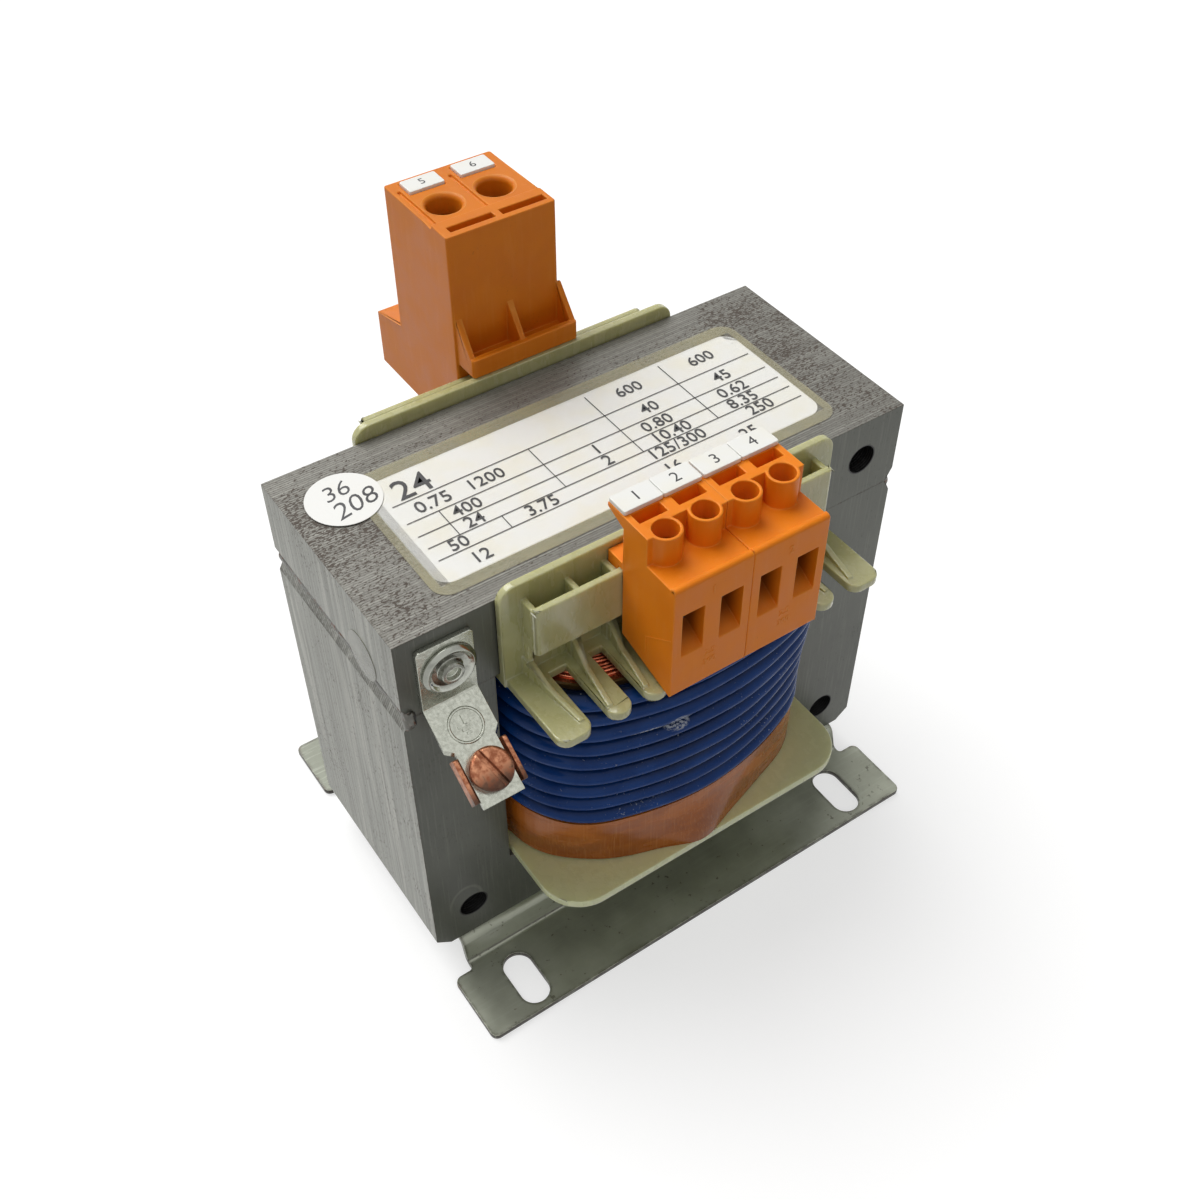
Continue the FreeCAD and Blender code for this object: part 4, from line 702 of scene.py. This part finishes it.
def clear_film():
    """Thin clear film, gone slightly yellow, with its glue showing at the rim."""
    material, tree, shader = new_finish("clear_film", screen(206, 196, 158), 0.16)
    mm = millimetres(tree)
    grain = use(tree, GRAIN, Vector=mm, Size=1.6)
    x, y = parts_of(tree, mm)[:2]
    low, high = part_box("rating_label_paper")
    half = (high[0] - low[0]) / 2 / MM
    beyond_x = minus(tree, apart(tree, x, low[0] / MM + half), half)
    beyond_y = minus(tree, positive(tree, y), high[1] / MM)
    margin = fade(tree, maths(tree, "MAXIMUM", beyond_x, beyond_y), -0.3, 0.1)
    thick = fade(tree, grain["Patch"], 0.3, 0.75, 0.20, 0.38)
    put(shader, "Alpha", times_plus(tree, margin, thick, 0.03))
    colour = mixed(tree, grain["Patch"], screen(206, 202, 172), screen(186, 178, 138))
    put(shader, "Base Color", colour)
    put(shader, "Normal", relief(tree, grain["Height"], 0.04, 0.5))
    return material


def rivet_metal():
    """The rivet's bright steel, with dark grime in the dish round its middle."""
    material, tree, shader = new_finish("rivet_steel", screen(190, 192, 184), 0.16, 0.9)
    mm = millimetres(tree)
    y, z = parts_of(tree, mm)[1:]
    across = plus(tree, y, HOLE_REACH)
    up = minus(tree, z, HOLE_MIDDLE + HOLE_SPREAD)
    reach = reach_of(tree, across, up)
    dish = times(tree, fade(tree, reach, 1.2, 1.7), fade(tree, reach, 4.3, 3.0))
    patch = clouds(tree, mm, 0.5, 3.0)
    colour = mixed(tree, patch, screen(160, 162, 152), screen(214, 216, 208))
    grime = times(tree, dish, fade(tree, patch, 0.3, 0.6, 0.2, 0.85))
    colour = mixed(tree, grime, colour, screen(84, 84, 76))
    rim = times(tree, fade(tree, reach, 3.8, 4.5), 0.7)
    colour = mixed(tree, rim, colour, screen(116, 118, 110))
    put(shader, "Base Color", colour)
    put(shader, "Normal", relief(tree, patch, 0.05, 0.5))
    return material


def clear_seal():
    """A dab of clear lacquer over the joint, a little yellow."""
    material, tree, shader = new_finish("clear_lacquer", screen(190, 190, 172), 0.2)
    grain = use(tree, GRAIN, Vector=millimetres(tree), Size=1.2)
    colour = mixed(tree, grain["Patch"], screen(122, 123, 106), screen(142, 143, 126))
    put(shader, "Base Color", colour)
    put(shader, "Alpha", fade(tree, grain["Patch"], 0.3, 0.7, 0.78, 0.92))
    put(shader, "Normal", relief(tree, grain["Height"], 0.03, 0.5))
    return material


def bright_metal(name, light, dark, size, roughness, stain=0.5):
    """Plated or plain metal with a cloudy, slightly pitted surface."""
    material, tree, shader = new_finish(name, light, roughness, 0.85)
    mm = millimetres(tree)
    patch = clouds(tree, mm, 1.0 / size, 5.0, 0.65)
    colour = mixed(tree, fade(tree, patch, 0.35, 0.68), dark, light)
    stains = use(tree, FLECKS, Vector=mm, Size=0.8, Amount=0.44)
    colour = mixed(tree, times(tree, stains["Mask"], stain), colour, screen(70, 58, 46))
    put(shader, "Base Color", colour)
    rough = fade(tree, patch, 0.3, 0.7, roughness + 0.12, roughness - 0.06)
    put(shader, "Roughness", rough)
    put(shader, "Normal", relief(tree, patch, 0.04, 0.7))
    return material


def dark_copper():
    """The coppered clamp: brown-red, turning near black at its lower, outer end."""
    material, tree, shader = new_finish("coppered_steel", screen(172, 112, 80), 0.36, 0.75)
    mm = millimetres(tree)
    patch = clouds(tree, mm, 0.8, 4.0, 0.6)
    colour = mixed(tree, fade(tree, patch, 0.35, 0.65), screen(134, 78, 52), screen(196, 138, 104))
    outer = plus(tree, parts_of(tree, mm)[0], times(tree, patch, 6.0))
    black = fade(tree, outer, 39.0, 41.5)
    colour = mixed(tree, times(tree, black, 0.85), colour, screen(38, 28, 24))
    put(shader, "Base Color", colour)
    put(shader, "Normal", relief(tree, patch, 0.15, 0.6))
    return material


def ink():
    """Black print, a little uneven."""
    material, tree, shader = new_finish("black_ink", screen(34, 34, 36), 0.5)
    grain = use(tree, GRAIN, Vector=millimetres(tree), Size=0.25)
    colour = mixed(tree, grain["Height"], screen(22, 22, 24), screen(60, 60, 62))
    put(shader, "Base Color", colour)
    put(shader, "Roughness", fade(tree, grain["Patch"], 0.3, 0.7, 0.4, 0.6))
    return material


# Pieces

def joined_solid(node):
    """A copy of a CAD solid's mesh with its loose triangles merged."""
    bm = bmesh.new()
    bm.from_mesh(nodes[node].data)
    bmesh.ops.remove_doubles(bm, verts=bm.verts, dist=0.002 * MM)
    return bm


def finish_piece(name, bm, material, replaced=(), smooth_below=28.0):
    mesh = bpy.data.meshes.new(name)
    bm.to_mesh(mesh)
    bm.free()
    if "custom_normal" in mesh.attributes:
        mesh.attributes.remove(mesh.attributes["custom_normal"])
    mesh.shade_smooth()
    mesh.set_sharp_from_angle(angle=math.radians(smooth_below))
    mesh.materials.clear()
    mesh.materials.append(material)
    piece = bpy.data.objects.new(name, mesh)
    bpy.context.scene.collection.objects.link(piece)
    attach(piece, "root")
    if replaced:
        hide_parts(*replaced)
    return piece


def softened(name, node, material, width, whole_faces=True):
    """A CAD solid with its flat faces whole, or else four-sided, and its sharp edges rounded."""
    bm = joined_solid(node)
    if whole_faces:
        bmesh.ops.dissolve_limit(bm, angle_limit=math.radians(0.6), verts=bm.verts, edges=bm.edges)
    else:
        bmesh.ops.join_triangles(
            bm, faces=bm.faces, angle_face_threshold=math.radians(1), angle_shape_threshold=3.1)
    sharp = [
        edge for edge in bm.edges
        if edge.is_manifold and edge.calc_face_angle() > math.radians(40)]
    bmesh.ops.bevel(
        bm, geom=sharp, offset=width * MM, offset_type="OFFSET", affect="EDGES",
        segments=2, profile=0.5, material=-1, clamp_overlap=False, loop_slide=True)
    piece = finish_piece(name, bm, material, [node], smooth_below=50.0)
    shading = piece.modifiers.new("flat_faces_stay_flat", "WEIGHTED_NORMAL")
    shading.keep_sharp = True


def thin_card(name, node, material):
    """A thin flat piece, such as a label or a film, as it is on the drawing."""
    finish_piece(name, joined_solid(node), material, [node])


def coil_reach(y, inset):
    """How far the crowned end of the coil reaches along X at y, for a layer that lies deeper in."""
    turn_over = (COIL_CROWN - inset) * COIL_CORNER_PLACE[1] / (COIL_CROWN - COIL_CORNER)
    if abs(y) < turn_over:
        return COIL_CROWN_X + math.sqrt((COIL_CROWN - inset) ** 2 - y ** 2)
    radius = COIL_CORNER - inset
    beside = min(abs(y) - COIL_CORNER_PLACE[1], radius)
    return COIL_CORNER_PLACE[0] + math.sqrt(radius ** 2 - beside ** 2)


def rise(value, start, end):
    """0 before start, 1 after end, and a soft step between."""
    share = min(max((value - start) / (end - start), 0.0), 1.0)
    return share * share * (3 - 2 * share)


def hand_wound(place):
    """How a point on the coil strays from the drawing, as the real coil does. Millimetres."""
    x, y, z = place
    front = rise(x, 6.0, 26.0)
    outwards = Vector((x, y * 0.9, 0)).normalized()
    angle = math.atan2(y, x)
    bulge = 0.35 * noise.noise(Vector((angle * 1.6, z * 0.07, 1.7)))
    uneven = 0.22 * noise.noise(Vector((angle * 3.0, z * 0.30, 5.2)))
    taper = -1.5 * rise(y, 2.0, 26.0) * rise(-z, -74.0, -44.0)
    lift = 0.5 * noise.noise(Vector((angle * 1.9, z * 0.09, 9.1)))
    upwards = Vector((0, 0, lift * rise(75.5 - z, 0.0, 6.0)))
    return (outwards * (bulge + uneven + taper) + upwards) * front


def swell(y, middle, spread):
    return math.exp(-((y - middle) / spread) ** 2)


def on_outside(place):
    """Whether a point in the turns' height lies on the outer surface of the coil."""
    return abs(place.y) > 31.5 or abs(place.x) > coil_reach(place.y, 1.8)


def cut_level(bm, level):
    """Gives the mesh vertices all round at a height, without opening it."""
    bmesh.ops.bisect_plane(
        bm, geom=bm.verts[:] + bm.edges[:] + bm.faces[:],
        plane_co=(0, 0, level), plane_no=(0, 0, 1))


def blue_turns():
    """The blue winding: round, slightly uneven turns, the right flank drawn in lower down."""
    bm = joined_solid("secondary_winding")
    for step in range(1, TURN_COUNT * TURN_SLICES):
        cut_level(bm, (TURNS_BASE + step * TURN_PITCH / TURN_SLICES) * MM)
    for vert in bm.verts:
        place = vert.co / MM
        vert.co += hand_wound(place) * MM
        if TURNS_BASE < place.z < TURNS_BASE + TURN_COUNT * TURN_PITCH and on_outside(place):
            share = (place.z - TURNS_BASE) / TURN_PITCH % 1.0
            sunk = (2.0 * share - 1.0) ** 2
            vert.co -= Vector((place.x, place.y * 0.9, 0)).normalized() * sunk * GROOVE_DEPTH * MM
    finish_piece(
        "blue_turns", bm, BLUE, ["secondary_winding"], smooth_below=50.0)


def margin_band():
    """The tape below the turns, its lower edge drawn out over the flange in the middle."""
    bm = joined_solid("margin_tape")
    low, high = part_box("margin_tape")
    level = low[2] + 1.0 * MM
    while level < high[2]:
        cut_level(bm, level)
        level += 1.2 * MM
    long_edges = [edge for edge in bm.edges if edge.calc_length() > 1.6 * MM]
    bmesh.ops.subdivide_edges(bm, edges=long_edges, cuts=1)
    for vert in bm.verts:
        x, y, z = vert.co / MM
        vert.co += hand_wound(vert.co / MM) * MM * 0.8
        if x > 12 and x > coil_reach(y, 2.4):
            outwards = Vector((x, y * 0.9, 0)).normalized()
            drawn = (2.3 * swell(y, -3.0, 6.0) - 0.5 * swell(y, 13.0, 8.0)
                     - 1.2 * swell(y, -26.0, 7.0))
            vert.co += outwards * drawn * (1 - rise(z, TAPE_BASE, 36.5)) * MM
    finish_piece("margin_band", bm, TAPE, ["margin_tape"], smooth_below=50.0)


def fine_turns():
    """Turns of fine enamelled wire, seen between the fingers of the comb."""
    bm = bmesh.new()
    centre = Vector((COIL_CORNER_PLACE[0], -COIL_CORNER_PLACE[1], 0)) * MM
    for turn in range(FINE_TURN_COUNT):
        radius = (FINE_TURN_RADIUS + turn * FINE_TURN_PITCH) * MM
        level = FINE_TURN_LEVEL + 0.10 * math.sin(turn * 2.1)
        start = Vector((centre.x + radius, centre.y, level * MM))
        ring = bmesh.ops.create_circle(
            bm, radius=FINE_WIRE_RADIUS * MM, segments=8,
            matrix=Matrix.Translation(start) @ Matrix.Rotation(math.radians(90), 4, "X"))
        edges = list({edge for vert in ring["verts"] for edge in vert.link_edges})
        bmesh.ops.rotate(
            bm, verts=ring["verts"], cent=centre, matrix=Matrix.Rotation(math.radians(6), 3, "Z"))
        made = bmesh.ops.spin(
            bm, geom=ring["verts"] + edges, cent=centre, axis=(0, 0, 1), dvec=(0, 0, 0),
            angle=math.radians(-100), steps=22, use_duplicate=False)
        ends = [item for item in made["geom_last"] if isinstance(item, bmesh.types.BMEdge)]
        bmesh.ops.holes_fill(bm, edges=edges + ends, sides=8)
    bmesh.ops.recalc_face_normals(bm, faces=bm.faces)
    finish_piece("fine_turns", bm, ENAMELLED, smooth_below=60.0)


def weld_bead(name, node):
    """The weld seam, swelling and sinking as the bead was laid."""
    bm = joined_solid(node)
    long_edges = [edge for edge in bm.edges if edge.calc_length() > 1.2 * MM]
    for _ in range(4):
        bmesh.ops.subdivide_edges(bm, edges=long_edges, cuts=1)
        bmesh.ops.triangulate(bm, faces=bm.faces)
        long_edges = [edge for edge in bm.edges if edge.calc_length() > 1.2 * MM]
    outside = 1 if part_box(node)[1][1] > 0 else -1
    for vert in bm.verts:
        place = vert.co / MM
        beads = 0.16 * math.sin(place.x * 2.4 + noise.noise(place * 0.3) * 3)
        shove = beads + 0.3 * noise.noise(place * 0.45)
        vert.co.y += min(shove - 0.12, 0.0) * outside * MM
        vert.co.z += 0.35 * noise.noise(Vector((place.x * 0.25, 3.1, 0))) * MM
    finish_piece(name, bm, WELD, [node], smooth_below=60.0)


def flat_print(bm, words, x, y, level, height, slant=0.0, thin=0.0, turn=0.0):
    """Adds figures that lie flat and read towards +Y. Millimetres."""
    reading = Matrix.Rotation(math.radians(90 + turn), 4, "Z")
    place = Matrix.Translation(Vector((x, y, level)) * MM) @ reading
    add_figures(bm, words, place, height, slant, thin, 0.01)


def add_figures(bm, words, place, height, slant, thin, depth):
    """Adds solid figures at a place given by a matrix. Sizes in millimetres."""
    curve = bpy.data.curves.new("print", "FONT")
    curve.body = words
    curve.size = height * 1.38 * MM
    curve.align_x = "CENTER"
    curve.align_y = "CENTER"
    curve.shear = slant
    curve.offset = -thin * MM
    curve.extrude = depth * MM
    curve.resolution_u = 3
    text = bpy.data.objects.new("print", curve)
    bpy.context.scene.collection.objects.link(text)
    bpy.context.view_layer.update()
    built = text.evaluated_get(bpy.context.evaluated_depsgraph_get())
    mesh = bpy.data.meshes.new_from_object(built)
    bpy.data.objects.remove(text)
    mesh.transform(place)
    bm.from_mesh(mesh)
    bpy.data.meshes.remove(mesh)


def flat_line(bm, x0, y0, x1, y1, level):
    """Adds a thin printed line between two points. Millimetres."""
    start = Vector((x0, y0, level)) * MM
    end = Vector((x1, y1, level)) * MM
    along = end - start
    turn = Matrix.Rotation(math.atan2(along.y, along.x), 4, "Z")
    size = Matrix.Diagonal((along.length, LINE_WIDTH * MM, 0.02 * MM, 1))
    place = Matrix.Translation((start + end) / 2)
    bmesh.ops.create_cube(bm, size=1.0, matrix=place @ turn @ size)


def label_print():
    """The label's table, with plain figures in its boxes."""
    bm = bmesh.new()
    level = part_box("rating_label_film")[1][2] / MM + PRINT_RISE
    for x in TABLE_ROWS:
        flat_line(bm, x, TABLE_START, x, TABLE_END, level)
    for y, start, end in TABLE_COLUMNS:
        flat_line(bm, start, y, end, y, level)
    for words, x, y, height in TABLE_FIGURES:
        flat_print(bm, words, x, y, level, height * TABLE_SCALE, 0.0, -0.015)
    finish_piece("label_print", bm, INK)


def sticker_print():
    """Two numbers written on the round sticker with a felt pen."""
    bm = bmesh.new()
    low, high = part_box("round_sticker")
    middle = (Vector(low) + Vector(high)) / 2 / MM
    level = high[2] / MM + PRINT_RISE
    flat_print(bm, "36", middle.x - 2.2, middle.y - 0.6, level, 3.8, 0.25, 0.03, 6.0)
    flat_print(bm, "208", middle.x + 2.3, middle.y + 0.8, level, 4.2, 0.30, 0.03, 10.0)
    finish_piece("sticker_print", bm, INK)


def marker_print():
    """A plain figure on each white marker of the terminals."""
    bm = bmesh.new()
    for node, words, height in TAG_FIGURES:
        low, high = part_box(node)
        middle = (Vector(low) + Vector(high)) / 2 / MM
        flat_print(bm, words, middle.x, middle.y, high[2] / MM + PRINT_RISE, height)
    finish_piece("marker_print", bm, INK)


def moulded_figures():
    """The faint raised figures and the parting line on the front housings."""
    bm = bmesh.new()
    upright = Matrix(((0, 0, 1), (1, 0, 0), (0, 1, 0))).to_4x4()
    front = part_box("front_terminal_left")[1][0] / MM
    for words, y, z, height in MOULDED_FIGURES:
        place = Matrix.Translation(Vector((front, y, z)) * MM) @ upright
        add_figures(bm, words, place, height, 0.0, -0.03, 0.07)
    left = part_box("front_terminal_left")[0][1] / MM
    for x0, z0, x1, z1 in PARTING_LINE:
        start = Vector((x0, left, z0)) * MM
        along = Vector((x1, left, z1)) * MM - start
        turn = Matrix.Rotation(-math.atan2(along.z, along.x), 4, "Y")
        size = Matrix.Diagonal((along.length, 0.10 * MM, 0.16 * MM, 1))
        place = Matrix.Translation(start + along / 2)
        bmesh.ops.create_cube(bm, size=1.0, matrix=place @ turn @ size)
    finish_piece("moulded_figures", bm, ORANGE)


def bore_collars():
    """The rounded collar that keeps each rear clamp screw in its bore."""
    bm = bmesh.new()
    for middle in REAR_BORES:
        rim = [Vector((REAR_BORE_REACH + radius, middle, z)) * MM for radius, z in COLLAR_RIM]
        verts = [bm.verts.new(place) for place in rim]
        edges = [bm.edges.new(pair) for pair in zip(verts, verts[1:] + verts[:1])]
        bmesh.ops.spin(
            bm, geom=verts + edges, cent=Vector((REAR_BORE_REACH, middle, 0)) * MM, axis=(0, 0, 1),
            dvec=(0, 0, 0), angle=math.radians(360), steps=48, use_merge=True)
    bmesh.ops.recalc_face_normals(bm, faces=bm.faces)
    finish_piece("bore_collars", bm, REAR_ORANGE_SHADED, smooth_below=60.0)


def weld_blob():
    """The glossy end of the left weld, where the bead ran out over the front sheet."""
    bm = bmesh.new()
    bmesh.ops.create_icosphere(bm, subdivisions=4, radius=1.0 * MM)
    for vert in bm.verts:
        place = vert.co / MM
        vert.co *= 1 + 0.35 * noise.noise(place * 1.3 + Vector((4.0, 1.0, 7.0)))
    place = Matrix.Translation(Vector(BLOB_PLACE) * MM) @ Matrix.Diagonal((*BLOB_SHAPE, 1))
    bmesh.ops.transform(bm, matrix=place, verts=bm.verts)
    finish_piece("weld_blob", bm, WELD, smooth_below=60.0)


def sign_bar(bm, along, length, width):
    """A bar of the earth sign, at a place along the tab."""
    size = Matrix.Diagonal((length * MM, width * MM, 0.50 * MM, 1))
    bmesh.ops.create_cube(bm, size=1.0, matrix=Matrix.Translation((along * MM, 0, 0)) @ size)


def earth_sign():
    """The raised ring and earth sign pressed into the tab."""
    bm = bmesh.new()
    ring = bmesh.ops.create_circle(
        bm, radius=0.27 * MM, segments=8,
        matrix=Matrix.Translation((2.9 * MM, 0, 0)) @ Matrix.Rotation(math.radians(90), 4, "X"))
    edges = list({edge for vert in ring["verts"] for edge in vert.link_edges})
    bmesh.ops.spin(
        bm, geom=ring["verts"] + edges, cent=(0, 0, 0), axis=(0, 0, 1), dvec=(0, 0, 0),
        angle=math.radians(360), steps=36, use_merge=True)
    for along, width in ((-0.1, 2.9), (0.6, 1.9), (1.3, 0.9)):
        sign_bar(bm, along, 0.42, width)
    sign_bar(bm, -1.0, 1.8, 0.42)
    bmesh.ops.recalc_face_normals(bm, faces=bm.faces)
    slope = Matrix.Rotation(math.radians(TAB_ANGLE), 4, "Y")
    on_leg = Matrix.Translation(Vector(TAB_FOLD) * MM) @ slope
    along_leg = Matrix.Translation(Vector((5.2, 0, 0.5)) * MM)
    bmesh.ops.transform(bm, matrix=on_leg @ along_leg, verts=bm.verts)
    finish_piece("earth_sign", bm, ZINC, smooth_below=50.0)


def dress(node, material):
    mesh = nodes[node].data
    mesh.materials.clear()
    mesh.materials.append(material)


place_camera()
set_room_light()
lay_floor()
add_softbox("softbox_above", (-0.50, -0.12, 0.86), 48.0, 2.75)
add_softbox("softbox_left", (-0.15, -0.88, 0.45), 80.0, 0.16)
add_softbox("softbox_front", (0.62, -0.20, 0.76), 80.0, 0.42)

FLECKS = make_flecks()
SHEET_LINES = make_sheet_lines()
EDGE_WEAR_AND_HIGHLIGHT = make_edge_wear_and_highlight()
FACES = make_faces()
GRAIN = make_grain()
RUNS = make_runs()

CORE = core_steel()
WELD = weld_steel()
FOOT = foot_steel()
NYLON = nylon()
BLUE = blue_insulation()
TAPE = orange_tape()
WRAP = brown_wrap()
ORANGE = orange_moulding("orange_housing", screen(230, 122, 14), screen(242, 138, 22))
# The rear housing gets a darker copy of the orange: painted shade, as it gets less light than the
# front housings.
REAR_ORANGE_SHADED = orange_moulding("orange_rear_housing_shaded", screen(208, 110, 12), screen(222, 128, 22))
DARK_SCREW = bright_metal("dark_screw_steel", screen(96, 78, 60), screen(52, 42, 34), 1.2, 0.42)
WHITE = white_card("white_tag", 0.25, 0.4)
PAPER = white_card("label_paper", 0.3, 0.3)
FILM = clear_film()
ENAMELLED = bright_metal("enamelled_copper", screen(214, 128, 96), screen(150, 74, 48), 3.0, 0.26)
ZINC = bright_metal("zinc_plate", screen(182, 184, 173), screen(160, 162, 151), 0.7, 0.20, 0.08)
RIVET = rivet_metal()
SCREW = bright_metal("screw_steel", screen(170, 168, 160), screen(110, 106, 98), 2.0, 0.34)
BRASS = bright_metal("pin_brass", screen(190, 176, 130), screen(140, 120, 76), 3.0, 0.30)
COPPERED = dark_copper()
STICKER = white_card("sticker_paper", 0.1, 0.4)
SEAL = clear_seal()
INK = ink()

for node, material in (
        ("primary_winding", ENAMELLED), ("layer_insulation", WRAP),
        ("secondary_wire_ends", ENAMELLED), ("front_clamp_cages", SCREW),
        ("front_clamp_screws", SCREW), ("front_contact_pins", BRASS), ("rear_clamp_cages", SCREW),
        ("rear_clamp_screws", DARK_SCREW), ("rear_contact_pins", BRASS)):
    dress(node, material)

for letter in ("e", "i"):
    softened(f"{letter}_sheets", f"{letter}_lamination_stack", CORE, 0.1)
thin_card("label_card", "rating_label_paper", PAPER)
thin_card("label_film", "rating_label_film", FILM)
thin_card("sticker_card", "round_sticker", STICKER)
thin_card("seal_spot", "clear_seal_dot", SEAL)
softened("bobbin_moulding", "bobbin", NYLON, 0.25, whole_faces=False)
for side in ("left", "right"):
    softened(
        f"front_housing_{side}", f"front_terminal_{side}", ORANGE, 0.2,
        whole_faces=False)
softened("rear_housing", "rear_terminal", REAR_ORANGE_SHADED, 0.2)
for end in ("front", "rear"):
    softened(f"{end}_foot_sheet", f"{end}_foot", FOOT, 0.15)
softened("tab_sheet", "earth_tab", ZINC, 0.12)
softened("rivet_head", "earth_rivet", RIVET, 0.12)
softened("clamp_channel", "earth_clamp_plate", COPPERED, 0.12)
softened("clamp_screw", "earth_screw", COPPERED, 0.1)
for number in range(1, 5):
    softened(f"front_tag_{number}", f"front_marker_{number}", WHITE, 0.15)
for side in ("left", "right"):
    softened(f"rear_tag_{side}", f"rear_marker_{side}", WHITE, 0.15)
    weld_bead(f"{side}_weld_bead", f"{side}_weld_seam")
blue_turns()
margin_band()
fine_turns()
label_print()
sticker_print()
marker_print()
earth_sign()
moulded_figures()
bore_collars()
weld_blob()
